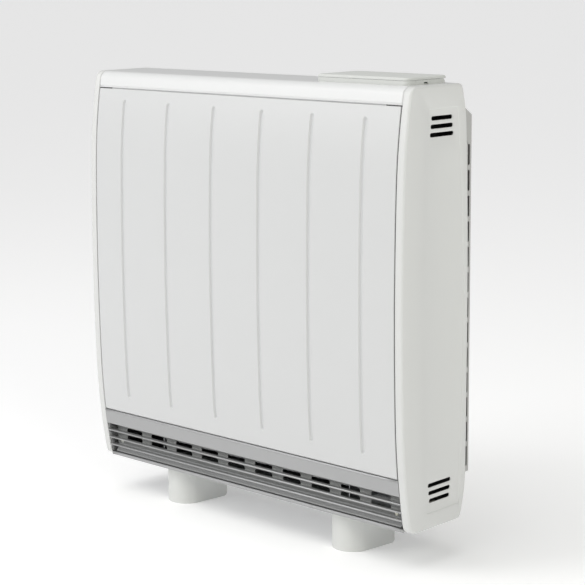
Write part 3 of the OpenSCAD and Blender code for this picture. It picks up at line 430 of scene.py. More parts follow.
BRICK = PressedBrick("storage_brick", (0.16, 0.10, 0.075), 0.92)
BOARD = FibreBoard("insulating_board", (0.80, 0.77, 0.66), 0.9)
CIRCUIT = CircuitBoard("circuit_board", (0.03, 0.14, 0.075), 0.35)
GLASS = DisplayGlass("display_glass", (0.20, 0.30, 0.31), 0.08)


# ---------- Meshes ----------

MERGE_DISTANCE = 0.001 * MM
WELD_DISTANCE = 0.01 * MM
BEVEL_ANGLE = math.radians(30.0)


def linked(name: str, data: bpy.types.ID) -> bpy.types.Object:
    """Makes an object at the origin and links it into the scene.

    Args:
        name: the object's name.
        data: its mesh, lamp or camera.

    Returns:
        The object.
    """
    made = bpy.data.objects.new(name, data)
    bpy.context.scene.collection.objects.link(made)
    return made


def smooth(mesh: bpy.types.Mesh, sharp: float) -> None:
    """Shades a mesh smooth, but for edges that turn by more than so many degrees."""
    mesh.shade_smooth()
    mesh.set_sharp_from_angle(angle=math.radians(sharp))


def mesh_object(
    name: str, points: Sequence[Point], faces: Sequence[Sequence[int]], sharp: float = 35.0
) -> bpy.types.Object:
    """Makes a smooth-shaded object from points and faces.

    Args:
        name: the object's name.
        points: its vertices in the row's frame.
        faces: vertex numbers of each face.
        sharp: edges that turn by more than this many degrees stay sharp.

    Returns:
        The object, linked into the scene at the origin.
    """
    mesh = bpy.data.meshes.new(name)
    mesh.from_pydata(points, [], faces)
    mesh.validate()
    smooth(mesh, sharp)
    return linked(name, mesh)


def closed_body(rings: Sequence[Sequence[Point]]) -> tuple[list[Point], list[tuple[int, ...]]]:
    """The points and faces of a closed body that runs through rings of points.

    Args:
        rings: rings with the same number of points each.

    Returns:
        The points, and the faces of the sides and both ends.
    """
    count, last = len(rings[0]), len(rings) - 1
    quad = [(k, (k + 1) % count, count + (k + 1) % count, count + k) for k in range(count)]
    sides = [tuple(i * count + v for v in face) for i in range(last) for face in quad]
    ends = [tuple(range(count))[::-1], tuple(range(last * count, (last + 1) * count))]
    return [point for ring in rings for point in ring], sides + ends


def outward(made: bpy.types.Object) -> None:
    """Merges a closed shell's doubles and turns its faces outwards.

    Args:
        made: the shell.
    """
    work = bmesh.new()
    work.from_mesh(made.data)
    bmesh.ops.remove_doubles(work, verts=work.verts, dist=MERGE_DISTANCE)
    bmesh.ops.recalc_face_normals(work, faces=work.faces)
    work.to_mesh(made.data)
    work.free()
    made.data.shade_smooth()


def evaluated_mesh(made: bpy.types.Object) -> bpy.types.Mesh:
    """A plain mesh of an object with its modifiers applied."""
    graph = bpy.context.evaluated_depsgraph_get()
    return bpy.data.meshes.new_from_object(made.evaluated_get(graph))


def soften(made: bpy.types.Object, width: float) -> None:
    """Joins an object's loose triangles and rounds its edges with a bevel.

    Args:
        made: the object.
        width: the rounding's width in metres.
    """
    weld = made.modifiers.new("joined", "WELD")
    weld.merge_threshold = WELD_DISTANCE
    bevel = made.modifiers.new("soft_edges", "BEVEL")
    bevel.width = width
    bevel.segments = 2
    bevel.limit_method = "ANGLE"
    bevel.angle_limit = BEVEL_ANGLE


def settle(made: bpy.types.Object, finish: Finish, slot: str, *nodes: str) -> None:
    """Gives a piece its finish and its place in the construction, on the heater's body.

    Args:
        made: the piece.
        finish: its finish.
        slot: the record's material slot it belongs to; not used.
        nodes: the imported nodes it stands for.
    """
    made.data.materials.clear()
    made.data.materials.append(finish.material())
    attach(made, ROOT_BODY)
    if nodes:
        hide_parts(*nodes)
    LOG.info("%s: %d faces, stands for %s", made.name, len(made.data.polygons), ", ".join(nodes))


# ---------- The barrel outline that the casing's pieces share ----------

OUTLINE_STEPS = (10, 14, 10)
ACROSS_STEPS = 8
ROUNDING_ERROR = 1e-9


@dataclass(frozen=True)
class Station:
    """A place on the outline, with the direction that points out of the casing."""

    y: float
    z: float
    out_y: float
    out_z: float

    def at(self, x: float, depth: float) -> Point:
        """The point at x, sunk into the casing by depth."""
        return (x, self.y - self.out_y * depth, self.z - self.out_z * depth)

    def mirrored(self) -> "Station":
        """The station as far on the other side of mid height."""
        return Station(self.y, -self.z, self.out_y, -self.out_z)


@dataclass(frozen=True)
class Arc:
    """One arc of an edge, in (y, z) about mid height; angles count up from straight outwards."""

    centre_y: float
    centre_z: float
    radius: float
    start: float
    end: float

    def station(self, angle: float) -> Station:
        """The station at an angle.

        Args:
            angle: the angle in radians.

        Returns:
            The station.
        """
        out_y, out_z = -math.cos(angle), math.sin(angle)
        y = self.centre_y + self.radius * out_y
        return Station(y, self.centre_z + self.radius * out_z, out_y, out_z)

    def stations(self, steps: int) -> list[Station]:
        """Evenly spaced stations, with both ends."""
        return [self.station(angle) for angle in even(self.start, self.end, steps)]


@dataclass(frozen=True)
class HalfForm:
    """Half of an upright edge: its middle, and where its shoulder starts from mid height."""

    middle_radius: float
    shoulder_start: float
    shoulder_radius: float


@dataclass(frozen=True)
class BarrelEdge:
    """One upright edge of the outline: corner, shoulder, middle, shoulder and corner arcs."""

    low: HalfForm
    high: HalfForm
    corner_radius: float
    half_height: float

    def half_arcs(self, form: HalfForm) -> tuple[Arc, Arc, Arc]:
        """One half: half of the middle, the shoulder and the corner.

        Args:
            form: the half's form.

        Returns:
            The arcs from mid height outwards.
        """
        middle, shoulder = form.middle_radius, form.shoulder_radius
        lean = math.asin(form.shoulder_start / middle)
        away = middle - shoulder
        shoulder_y = middle - away * math.cos(lean)
        shoulder_z = away * math.sin(lean)
        corner_z = self.half_height - self.corner_radius
        reach = shoulder - self.corner_radius
        corner_y = shoulder_y - math.sqrt(reach**2 - (corner_z - shoulder_z) ** 2)
        corner_start = math.asin((corner_z - shoulder_z) / reach)
        return (
            Arc(middle, 0.0, middle, 0.0, lean),
            Arc(shoulder_y, shoulder_z, shoulder, lean, corner_start),
            Arc(corner_y, corner_z, self.corner_radius, corner_start, QUARTER),
        )

    def at_height(self, z: float) -> Station:
        """The station at a height from mid height.

        Args:
            z: the height, up or down.

        Returns:
            The station there.
        """
        for arc in self.half_arcs(self.high if z >= 0 else self.low):
            if abs(z) <= arc.centre_z + arc.radius * math.sin(arc.end) + ROUNDING_ERROR:
                rise = min(1.0, (abs(z) - arc.centre_z) / arc.radius)
                found = arc.station(math.asin(rise))
                return found if z >= 0 else found.mirrored()
        raise ValueError(f"height {z} is off the edge")

    def upwards(self, steps: Sequence[int] = OUTLINE_STEPS) -> list[Station]:
        """Stations along the whole edge, from its lower end to its upper end.

        Args:
            steps: steps on the middle's half, the shoulder and the corner.

        Returns:
            The stations, with none repeated.
        """
        low, high = (
            [
                station
                for k, (arc, count) in enumerate(zip(self.half_arcs(form), steps))
                for station in arc.stations(count)[1 if k else 0 :]
            ]
            for form in (self.low, self.high)
        )
        return [station.mirrored() for station in reversed(low[1:])] + high


@dataclass(frozen=True)
class Casing:
    """The casing's place in the row's frame, read from its end mouldings' boxes."""

    front_y: float
    back_y: float
    low_z: float
    high_z: float
    half_width: float
    front_low: HalfForm = HalfForm(5.200, 0.155, 1.150)
    front_high: HalfForm = HalfForm(5.200, 0.190, 0.900)
    back_low: HalfForm = HalfForm(30.0, 0.255, 0.235)
    back_high: HalfForm = HalfForm(5.500, 0.270, 0.235)
    front_corner: float = 0.015
    back_corner: float = 0.010

    @classmethod
    def from_frame(cls) -> "Casing":
        """Reads the casing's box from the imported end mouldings."""
        low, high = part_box("side_panel_right")
        return cls(low.y, high.y, low.z, high.z, high.x)

    @property
    def mid_z(self) -> float:
        """Mid height of the casing."""
        return (self.low_z + self.high_z) / 2

    @property
    def half_height(self) -> float:
        """Half the casing's height."""
        return (self.high_z - self.low_z) / 2

    @property
    def front(self) -> BarrelEdge:
        """The outline's front edge."""
        return BarrelEdge(self.front_low, self.front_high, self.front_corner, self.half_height)

    @property
    def back(self) -> BarrelEdge:
        """The outline's back edge."""
        return BarrelEdge(self.back_low, self.back_high, self.back_corner, self.half_height)

    def placed(self, station: Station, rear: bool = False) -> Station:
        """Moves an edge's station into the row's frame.

        Args:
            station: a station of the front or back edge.
            rear: True for the back edge, which faces the other way.

        Returns:
            The station in the row's frame.
        """
        z = self.mid_z + station.z
        if rear:
            return Station(self.back_y - station.y, z, -station.out_y, station.out_z)
        return Station(self.front_y + station.y, z, station.out_y, station.out_z)

    def front_at(self, z: float) -> Station:
        """The front's station at a height above the floor."""
        return self.placed(self.front.at_height(z - self.mid_z))

    def back_at(self, z: float) -> Station:
        """The back's station at a height above the floor."""
        return self.placed(self.back.at_height(z - self.mid_z), rear=True)

    def loop(self) -> list[Station]:
        """The whole outline: up the front, back along the top, down the back and forwards.

        Returns:
            The stations, with none repeated.
        """
        front = [self.placed(s) for s in self.front.upwards()]
        back = [self.placed(s, rear=True) for s in self.back.upwards()]
        top = spaced(front[-1], back[-1], ACROSS_STEPS)
        bottom = spaced(back[0], front[0], ACROSS_STEPS)
        return front + top + back[::-1] + bottom


def spaced(first: Station, last: Station, steps: int) -> list[Station]:
    """The stations strictly between two that face the same way."""
    places = zip(even(first.y, last.y, steps), even(first.z, last.z, steps))
    return [Station(y, z, first.out_y, first.out_z) for y, z in places][1:-1]


# ---------- Folded sheets ----------

SHEET_SHARP = 60.0
FOLD_MARGIN = 0.05 * MM


@dataclass(frozen=True)
class Fold:
    """A sheet's edge: a small hollow sweep as deep as its radius, then a turn in to a depth."""

    radius: float = 1.4 * MM
    depth: float = 3.0 * MM
    steps: int = 4

    def run(self) -> list[Span]:
        """The fold as (distance in from the edge, depth below the face), from its inner end."""
        sweep = [(self.radius * c, self.radius * s) for c, s in quarter_turn(self.steps)]
        return [(0.0, self.depth)] + sweep[::-1]


def folded_line(low: float, high: float, fold: Fold, inner: Iterable[float]) -> list[Span]:
    """Places along one direction of a sheet, with a fold at each end.

    Args:
        low: the low edge.
        high: the high edge.
        fold: the fold at both edges.
        inner: further places between the folds.

    Returns:
        Pairs of place and depth, in order.
    """
    run = fold.run()
    start = [(low + w, d) for w, d in run]
    end = [(high - w, d) for w, d in reversed(run)]
    margin = fold.radius + FOLD_MARGIN
    middle = sorted({round(v, 7) for v in inner if low + margin < v < high - margin})
    return start + [(v, 0.0) for v in middle] + end


def sheet(
    name: str,
    rows: Sequence[tuple[Station, float]],
    columns: Sequence[Span],
    thickness: float,
    relief: Callable[[float, float], float] | None = None,
) -> bpy.types.Object:
    """Makes a folded sheet over a grid of stations and X places.

    Args:
        name: the piece's name.
        rows: stations in order, each with the depth that its fold adds.
        columns: X places in order, each with the depth that its fold adds.
        thickness: the sheet's thickness.
        relief: depth of a pressed shape at (x, z), where the sheet has one.

    Returns:
        The piece, with its wall as a modifier.
    """
    points = [
        station.at(x, math.hypot(down, aside) + (relief(x, station.z) if relief else 0.0))
        for station, down in rows
        for x, aside in columns
    ]
    width = len(columns)
    faces = [
        (k, k + 1, k + width + 1, k + width)
        for i in range(len(rows) - 1)
        for k in range(i * width, (i + 1) * width - 1)
    ]
    made = mesh_object(name, points, faces, SHEET_SHARP)
    wall = made.modifiers.new("wall", "SOLIDIFY")
    wall.thickness = thickness
    wall.offset = -1.0
    wall.use_even_offset = True
    return made


@dataclass
class FrontPanel:
    """The barrel-fronted panel with its pressed grooves."""

    casing: Casing
    low_seam: float
    top_seam: float
    half_width: float
    groove_count: int = 6
    groove_pitch: float = 105.5 * MM
    groove_half: float = 4.3 * MM
    groove_depth: float = 2.8 * MM
    groove_form: float = 1.8
    groove_low: float = 114.2 * MM
    groove_top: float = 621.7 * MM
    thickness: float = 0.9 * MM
    top_gap: float = 1.4 * MM
    fold: Fold = Fold(2.3 * MM, 4.0 * MM, 6)
    groove_steps: int = 7
    end_steps: int = 4
    wide_steps: int = 24
    row_steps: int = 56
    column_clearance: float = 8 * MM
    row_clearance: float = 6 * MM

    def groove_centres(self) -> list[float]:
        """X of each groove."""
        middle = (self.groove_count - 1) / 2
        return [(k - middle) * self.groove_pitch for k in range(self.groove_count)]

    def groove_ends(self) -> Span:
        """Heights of the grooves' lower and upper ends above the floor."""
        return self.casing.low_z + self.groove_low, self.casing.low_z + self.groove_top

    def groove(self, x: float, z: float) -> float:
        """Depth of the pressing at a place.

        Args:
            x: X in the row's frame.
            z: height above the floor.

        Returns:
            The depth in metres.
        """
        low, top = self.groove_ends()
        aside = min(abs(x - centre) for centre in self.groove_centres())
        beyond = max(0.0, low + self.groove_half - z, z - top + self.groove_half)
        share = math.hypot(aside, beyond) / self.groove_half
        if share >= 1.0:
            return 0.0
        return self.groove_depth * (0.5 + 0.5 * math.cos(math.pi * share**self.groove_form))

    def columns(self) -> list[Span]:
        """X places: fine across each groove and wide between them.

        Returns:
            The places, each with the depth that the side folds add.
        """
        fine, centres = self.groove_steps, self.groove_centres()
        offsets = [self.groove_half * k / fine for k in range(-fine - 1, fine + 2)]
        across = [centre + offset for centre in centres for offset in offsets]
        wide = [
            self.half_width * k / self.wide_steps
            for k in range(1 - self.wide_steps, self.wide_steps)
        ]
        clear = [x for x in wide if min(abs(x - c) for c in centres) > self.column_clearance]
        return folded_line(-self.half_width, self.half_width, self.fold, across + clear)

    def rows(self) -> list[tuple[Station, float]]:
        """Stations up the panel: fine at the grooves' ends and even between them.

        Returns:
            The stations, each with the depth that the lower and upper folds add.
        """
        low, top = self.groove_ends()
        fine = self.end_steps
        offsets = [self.groove_half * k / fine for k in range(-fine - 1, fine + 2)]
        ends = [end + offset for end in (low, top) for offset in offsets]
        between = even(self.low_seam, self.top_seam, self.row_steps)[1:-1]
        clear = [z for z in between if min(abs(z - low), abs(z - top)) > self.row_clearance]
        line = folded_line(self.low_seam, self.top_seam - self.top_gap, self.fold, ends + clear)
        return [(self.casing.front_at(z), depth) for z, depth in line]

    def build(self) -> None:
        """Builds the panel in place of its solid."""
        made = sheet("front_panel_skin", self.rows(), self.columns(), self.thickness, self.groove)
        settle(made, WHITE, "white_enamel", "front_panel")


@dataclass
class TopCover:
    """The cover that turns from the front seam over the top to the back."""

    casing: Casing
    top_seam: float
    half_width: float
    back_drop: float = 1.0 * MM
    thickness: float = 0.9 * MM
    tongue: float = 2.0 * MM
    tongue_depth: float = 0.8 * MM
    fold: Fold = Fold()
    fold_clearance: float = 1.6 * MM
    front_steps: tuple[int, int, int] = (4, 30, 14)
    back_steps: tuple[int, int, int] = (4, 30, 12)
    top_steps: int = 28
    column_steps: int = 24

    @property
    def back_edge(self) -> float:
        """Height of the cover's rear edge above the floor."""
        return self.casing.high_z - self.casing.back_corner - self.back_drop

    def path(self) -> list[Station]:
        """Stations between the folds, from the front seam over the top to the back edge.

        Returns:
            The stations, in order.
        """
        casing, seam, edge = self.casing, self.top_seam, self.back_edge
        front = [casing.placed(s) for s in casing.front.upwards(self.front_steps)]
        back = [casing.placed(s, rear=True) for s in casing.back.upwards(self.back_steps)]
        front = [s for s in front if s.z > seam + self.fold_clearance]
        back = [s for s in back if s.z > edge + self.fold_clearance]
        return front + spaced(front[-1], back[-1], self.top_steps) + back[::-1]

    def build(self) -> None:
        """Builds the cover, with its tongue behind the front seam, in place of its solid."""
        casing, run = self.casing, self.fold.run()
        tongue = [(-self.tongue, self.tongue_depth), (0.0, self.tongue_depth)]
        turned = [(w, d) for w, d in run if d < self.tongue_depth]
        first = [(casing.front_at(self.top_seam + w), d) for w, d in tongue + turned]
        last = [(casing.back_at(self.back_edge + w), d) for w, d in reversed(run)]
        rows = first + [(s, 0.0) for s in self.path()] + last
        wide = even(-self.half_width, self.half_width, self.column_steps)[1:-1]
        columns = folded_line(-self.half_width, self.half_width, self.fold, wide)
        made = sheet("top_cover_skin", rows, columns, self.thickness)
        # The cover takes the lighter copy of the white enamel: painted light on the top.
        settle(made, LIT_COVER_WHITE, "white_enamel", "top_cover")


@dataclass
class FoldedLip:
    """A long lip of the outlet: a strip that is folded over an edge and curls in below."""

    name: str
    half_width: float
    front_y: float
    top_z: float
    height: float = 5.4 * MM
    lap: float = 6.0 * MM
    bend: float = 1.1 * MM
    curl: float = 0.9 * MM
    tail: float = 1.0 * MM
    thickness: float = 0.8 * MM
    turn_steps: int = 5
    column_steps: int = 24

    def path(self) -> list[Station]:
        """Stations round the lip.

        Returns:
            The stations, from the curl's inner end up the face and over the bend to the lap.
        """
        bend_y, bend_z = self.front_y + self.bend, self.top_z - self.bend
        curl_y, curl_z = self.front_y + self.curl, self.top_z - self.height + self.curl
        turns = quarter_turn(self.turn_steps)[::-1]
        under = [Station(curl_y - self.curl * c, curl_z - self.curl * s, -c, -s) for c, s in turns]
        over = [Station(bend_y - self.bend * s, bend_z + self.bend * c, -s, c) for c, s in turns]
        inner = Station(curl_y + self.tail, curl_z - self.curl, 0.0, -1.0)
        rear = Station(self.front_y + self.lap, self.top_z, 0.0, 1.0)
        return [inner] + under + over + [rear]

    def build(self) -> None:
        """Builds the lip over the outlet grille."""
        columns = [(x, 0.0) for x in even(-self.half_width, self.half_width, self.column_steps)]
        made = sheet(self.name, [(s, 0.0) for s in self.path()], columns, self.thickness)
        settle(made, SILVER, "silver_enamel")


@dataclass
class OutletLips:
    """The two lips of the outlet: over its bottom rail and along its band's upper edge."""

    casing: Casing
    end_gap: float = 0.2 * MM
    rail_height: float = 5.6 * MM
    rail_proud: float = 0.6 * MM
    rail_top: float = 6.5 * MM
    band_proud: float = 0.5 * MM
    band_rise: float = 0.1 * MM
    band_height: float = 3.4 * MM
    band_lap: float = 5.0 * MM
    band_bend: float = 2.0 * MM

    def build(self) -> None:
        """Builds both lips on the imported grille."""
        low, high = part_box("outlet_grille")
        half = high.x - self.end_gap
        rail_y = self.casing.front_at(self.casing.low_z + self.rail_height).y - self.rail_proud
        band_y = self.casing.front_at(high.z).y - self.band_proud
        band = (self.band_height, self.band_lap, self.band_bend)
        FoldedLip("outlet_rail_lip", half, rail_y, low.z + self.rail_top).build()
        FoldedLip("outlet_band_lip", half, band_y, high.z + self.band_rise, *band).build()


# ---------- End mouldings ----------

MOULDING_SHARP = 40.0
MOULDING_GAP = 0.4 * MM


class End(Enum):
    """The two ends of the heater, with the sign of their X."""

    LEFT = -1
    RIGHT = 1


def bow(radius: float, rise: float) -> float:
    """How far an arc falls back at a rise from its middle."""
    return radius - math.sqrt(radius**2 - rise**2)


class Shell:
    """A closed shell across X, put together from rings of vertices."""

    def __init__(self, side: int) -> None:
        """Starts an empty shell whose X places are multiplied by side."""
        self.side = side
        self.work = bmesh.new()

    def ring(self, places: Iterable[Span], x: float) -> Ring:
        """Adds a ring of vertices at x, through places in (y, z)."""
        return [self.work.verts.new((self.side * x, y, z)) for y, z in places]

    def section(self, stations: Iterable[Station], x: float, inset: float) -> Ring:
        """Adds a ring at x, through stations that are drawn in by an inset."""
        return self.ring((station.at(0.0, inset)[1:] for station in stations), x)

    def skin(self, rings: Sequence[Ring]) -> None:
        """Joins each ring to the next with faces.

        Args:
            rings: rings of as many vertices each, in order.
        """
        for first, second in zip(rings, rings[1:]):
            for k, vert in enumerate(first):
                after = (k + 1) % len(first)
                self.work.faces.new((vert, first[after], second[after], second[k]))

    def fill(self, loops: Sequence[Ring]) -> None:
        """Fills the flat area between a border and the openings in it.

        Args:
            loops: the rings round the area, all in one plane.
        """
        pairs = [pair for loop in loops for pair in zip(loop, loop[1:] + loop[:1])]
        edges = [self.work.edges.get(pair) or self.work.edges.new(pair) for pair in pairs]
        across = (self.side, 0.0, 0.0)
        bmesh.ops.triangle_fill(self.work, edges=edges, use_beauty=True, normal=across)

    def finished(self, name: str) -> bpy.types.Object:
        """Turns the shell into an object whose faces point outwards.

        Args:
            name: the object's name.

        Returns:
            The object.
        """
        mesh = bpy.data.meshes.new(name)
        self.work.to_mesh(mesh)
        self.work.free()
        made = linked(name, mesh)
        outward(made)
        return made


@dataclass(frozen=True)
class VentRow:
    """Three vent slots that shorten away from mid height."""

    centre_y: float = 90.0 * MM
    from_mid: float = 263.5 * MM
    drop: float = 1.9 * MM
    pitch: float = 12.1 * MM
    length: float = 55.0 * MM
    shorter: float = 3.0 * MM
    height: float = 6.3 * MM
    lip: float = 0.5 * MM
    lip_steps: int = 3
    end_steps: int = 10
    count: int = 3

    def slots(self, casing: Casing) -> list[Point]:
        """Places the slots above and below.

        Args:
            casing: the casing, whose front and middle they are counted from.

        Returns:
            Each slot as (y, z, length) in the row's frame.
        """
        return [
            (
                casing.front_y + self.centre_y,
                casing.mid_z - self.drop + side * (self.from_mid + k * self.pitch),
                self.length - k * self.shorter,
            )
            for side in (-1, 1)
            for k in range(self.count)
        ]

    def border(self, slot: Point, grow: float) -> list[Span]:
        """One slot's border as (y, z).

        Args:
            slot: its centre and length.
            grow: how far the border is widened.

        Returns:
            The places, in order round it.
        """
        y, z, length = slot
        radius = self.height / 2 + grow
        reach = (length - self.height) / 2
        return [
            (y + side * reach + radius * math.cos(angle), z + radius * math.sin(angle))
            for side in (1, -1)
            for angle in even(-side * QUARTER, (2 - side) * QUARTER, self.end_steps)
        ]


@dataclass
class SideMoulding:
    """One end of the casing: a rim with a soft edge, a shallow field and six vent slots."""

    casing: Casing
    end: End
    seam_x: float
    edge_radius: float = 4.0 * MM
    edge_steps: int = 8
    rim_radius: float = 0.8 * MM
    rim_steps: int = 3
    wall: float = 2.4 * MM
    field_depth: float = 0.9 * MM
    field_slope: float = 1.3 * MM
    field_steps: int = 4
    field_front: float = 49.0 * MM
    field_back: float = 144.5 * MM
    field_front_radius: float = 5.000
    field_back_high_radius: float = 2.600
    field_back_low_radius: float = 5.500
    field_low: float = 24.5 * MM
    field_high: float = 33.2 * MM
    vents: VentRow = VentRow()

    def rim_profile(self) -> list[Span]:
        """The outer skin's section as (x, inset), from the seam to the flat of the face.

        Returns:
            The pairs, in order.
        """
        outer, rim, edge = self.casing.half_width, self.rim_radius, self.edge_radius
        seam, turn = quarter_turn(self.rim_steps), quarter_turn(self.edge_steps)
        return [(self.seam_x + rim * (1 - c), rim * (1 - s)) for c, s in seam] + [
            (outer - edge * (1 - s), edge * (1 - c)) for c, s in turn
        ]

    def field_front_y(self, z: float) -> float:
        """Y of the field's front border at a height above the floor."""
        fall = bow(self.field_front_radius, z - self.casing.mid_z)
        return self.casing.front_y + self.field_front + fall

    def field_back_y(self, z: float) -> float:
        """Finds the field's rear border.

        Args:
            z: height above the floor.

        Returns:
            Its Y in metres.
        """
        rise = z - self.casing.mid_z
        radius = self.field_back_high_radius if rise > 0 else self.field_back_low_radius
        return self.casing.front_y + self.field_back - bow(radius, rise)

    def field_loop(self, shrink: float) -> list[Span]:
        """The field's border as (y, z), with as many places on each side as the outline has.

        Args:
            shrink: how far it is drawn in.

        Returns:
            The places, in the outline's order.
        """
        low = self.casing.low_z + self.field_low + shrink
        high = self.casing.high_z - self.field_high - shrink
        steps = 2 * sum(OUTLINE_STEPS)
        front = [(self.field_front_y(z) + shrink, z) for z in even(low, high, steps)]
        back = [(self.field_back_y(z) - shrink, z) for z in even(high, low, steps)]
        top = [(y, high) for y in even(front[-1][0], back[0][0], ACROSS_STEPS)[1:-1]]
        bottom = [(y, low) for y in even(back[-1][0], front[0][0], ACROSS_STEPS)[1:-1]]
        return front + top + back + bottom

    def field_slope_run(self) -> list[Span]:
        """Draws the slope round the field.

        Returns:
            The steps as (shrink, depth), from its border to its floor.
        """
        return [
            (self.field_slope * t, self.field_depth * (0.5 - 0.5 * math.cos(math.pi * t)))
            for t in even(0.0, 1.0, self.field_steps)
        ]

    def build(self) -> None:
        """Builds the moulding in place of its solid."""
        shell, vents = Shell(self.end.value), self.vents
        outline, outer = self.casing.loop(), self.casing.half_width
        floor, inside = outer - self.field_depth, outer - self.wall
        rings = [shell.section(outline, x, inset) for x, inset in self.rim_profile()]
        rings += [
            shell.ring(self.field_loop(shrink), outer - depth)
            for shrink, depth in self.field_slope_run()
        ]
        inner = [shell.section(outline, x, self.wall) for x in (inside, self.seam_x)]
        shell.skin(rings)
        shell.skin(inner + rings[:1])
        face_loops, back_loops = [rings[-1]], [inner[0]]
        for slot in vents.slots(self.casing):
            lips = [
                shell.ring(vents.border(slot, vents.lip * (1 - s)), floor - vents.lip * (1 - c))
                for c, s in quarter_turn(vents.lip_steps)
            ]
            lips.append(shell.ring(vents.border(slot, 0.0), inside))
            shell.skin(lips)
            face_loops.append(lips[0])
            back_loops.append(lips[-1])
        shell.fill(face_loops)
        shell.fill(back_loops)
        side = self.end.name.lower()
        made = shell.finished(f"side_moulding_{side}")
        smooth(made.data, MOULDING_SHARP)
        settle(made, MOULDING, "side_moulding", f"side_panel_{side}")


# ---------- Screws, set out by a node tree ----------

SCREW_SHARP = 35.0
TREE_INPUTS = {
    "Geometry": "Geometry",
    "Screw": "Object",
    "Turn": "Vector",
    "Seed": "Int",
    "Finish": "Material",
}
TREE_NODES = {
    "given": "NodeGroupInput",
    "screw": "GeometryNodeObjectInfo",
    "chance": "FunctionNodeRandomValue",
    "axis": "ShaderNodeCombineXYZ",
    "place": "GeometryNodeInstanceOnPoints",
    "swing": "GeometryNodeRotateInstances",
    "realise": "GeometryNodeRealizeInstances",
    "finish": "GeometryNodeSetMaterial",
    "result": "NodeGroupOutput",
}
TREE_LINKS = (
    ("given", "Screw", "screw", "Object"),
    ("given", "Geometry", "place", "Points"),
    ("screw", "Geometry", "place", "Instance"),
    ("given", "Turn", "place", "Rotation"),
    ("given", "Seed", "chance", "Seed"),
    ("chance", "Value", "axis", "Z"),
    ("place", "Instances", "swing", "Instances"),
    ("axis", "Vector", "swing", "Rotation"),
    ("swing", "Instances", "realise", "Geometry"),
    ("realise", "Geometry", "finish", "Geometry"),
    ("given", "Finish", "finish", "Material"),
    ("finish", "Geometry", "result", "Geometry"),
)


@dataclass
class ScrewSet:
    """Pan-head screws with a cross recess, one node tree for each group."""

    name: str
    node: str
    seats: Sequence[Point]
    turn: Point
    head_radius: float = 3.6 * MM
    head_height: float = 2.0 * MM
    head_fullness: float = 0.55
    shank_radius: float = 2.0 * MM
    shank_length: float = 6.0 * MM
    tip_length: float = 1.6 * MM
    neck: float = 0.2 * MM
    recess_half: float = 0.42 * MM
    recess_arm: float = 2.0 * MM
    recess_depth: float = 1.3 * MM
    recess_taper: float = 0.6
    dome_steps: int = 7
    sides: int = 28
    seed: int = 7

    def profile(self) -> list[Span]:
        """The screw's section as (radius, z).

        Returns:
            The pairs, from the tip up to the head's rim and near its top.
        """
        head, shank, low = self.head_radius, self.shank_radius, -self.shank_length
        dome = [
            (head * c**self.head_fullness, self.head_height * s)
            for c, s in quarter_turn(self.dome_steps)[:-1]
        ]
        tip = [(shank * 0.2, low), (shank * 0.9, low + self.tip_length)]
        return tip + [(shank, -self.neck), (shank, 0.0), (head * 0.97, 0.0)] + dome

    def template(self) -> bpy.types.Object:
        """One screw with its head up +Z and its seat at the origin.

        Returns:
            The screw, closed and smooth.
        """
        turns = even(0.0, math.tau, self.sides)[:-1]
        rings = [[(r * math.cos(a), r * math.sin(a), z) for a in turns] for r, z in self.profile()]
        made = mesh_object(f"{self.name}_template", *closed_body(rings))
        outward(made)
        self.cut_recess(made)
        return made

    def cut_recess(self, made: bpy.types.Object) -> None:
        """Cuts the cross recess into a screw's head.

        Args:
            made: the screw.
        """
        half, arm, taper = self.recess_half, self.recess_arm, self.recess_taper
        cross = [
            (half, arm), (-half, arm), (-half, half), (-arm, half), (-arm, -half), (-half, -half),
            (-half, -arm), (half, -arm), (half, -half), (arm, -half), (arm, half), (half, half),
        ]
        top, low = self.head_height + 1.0 * MM, self.head_height - self.recess_depth
        rings = [[(x, y, top) for x, y in cross], [(x * taper, y * taper, low) for x, y in cross]]
        cutter = mesh_object(f"{self.name}_cutter", *closed_body(rings))
        outward(cutter)
        cut = made.modifiers.new("recess", "BOOLEAN")
        cut.object = cutter
        cut.operation = "DIFFERENCE"
        cut.solver = "EXACT"
        mesh = evaluated_mesh(made)
        made.modifiers.clear()
        made.data = mesh
        smooth(mesh, SCREW_SHARP)
        bpy.data.objects.remove(cutter)

    def tree(self) -> bpy.types.NodeTree:
        """The tree that sets a screw on every point, each turned by chance about its axis.

        Returns:
            The node tree, with named inputs.
        """
        tree = bpy.data.node_groups.new(f"{self.name}_tree", "GeometryNodeTree")
        for name, kind in TREE_INPUTS.items():
            tree.interface.new_socket(name, in_out="INPUT", socket_type=f"NodeSocket{kind}")
        tree.interface.new_socket("Geometry", in_out="OUTPUT", socket_type="NodeSocketGeometry")
        nodes = {key: tree.nodes.new(kind) for key, kind in TREE_NODES.items()}
        nodes["chance"].data_type = "FLOAT"
        nodes["chance"].inputs["Max"].default_value = math.tau
        for source, output, target, taken in TREE_LINKS:
            tree.links.new(nodes[source].outputs[output], nodes[target].inputs[taken])
        return tree

    def build(self) -> None:
        """Builds the group in place of its solids."""
        template, tree = self.template(), self.tree()
        holder = mesh_object(f"{self.name}_seats", list(self.seats), [])
        layout = holder.modifiers.new("layout", "NODES")
        layout.node_group = tree
        given = {"Screw": template, "Turn": self.turn, "Seed": self.seed, "Finish": ZINC.material()}
        for item in tree.interface.items_tree:
            if item.in_out == "INPUT" and item.name in given:
                layout[item.identifier] = given[item.name]
        made = linked(self.name, evaluated_mesh(holder))
        bpy.data.objects.remove(holder)
        bpy.data.objects.remove(template)
        settle(made, ZINC, "zinc_screw", self.node)


def seats_at(xs: Iterable[float], ys: Iterable[float], zs: Iterable[float]) -> list[Point]:
    """Every place on a grid."""
    return [(x, y, z) for x in xs for y in ys for z in zs]


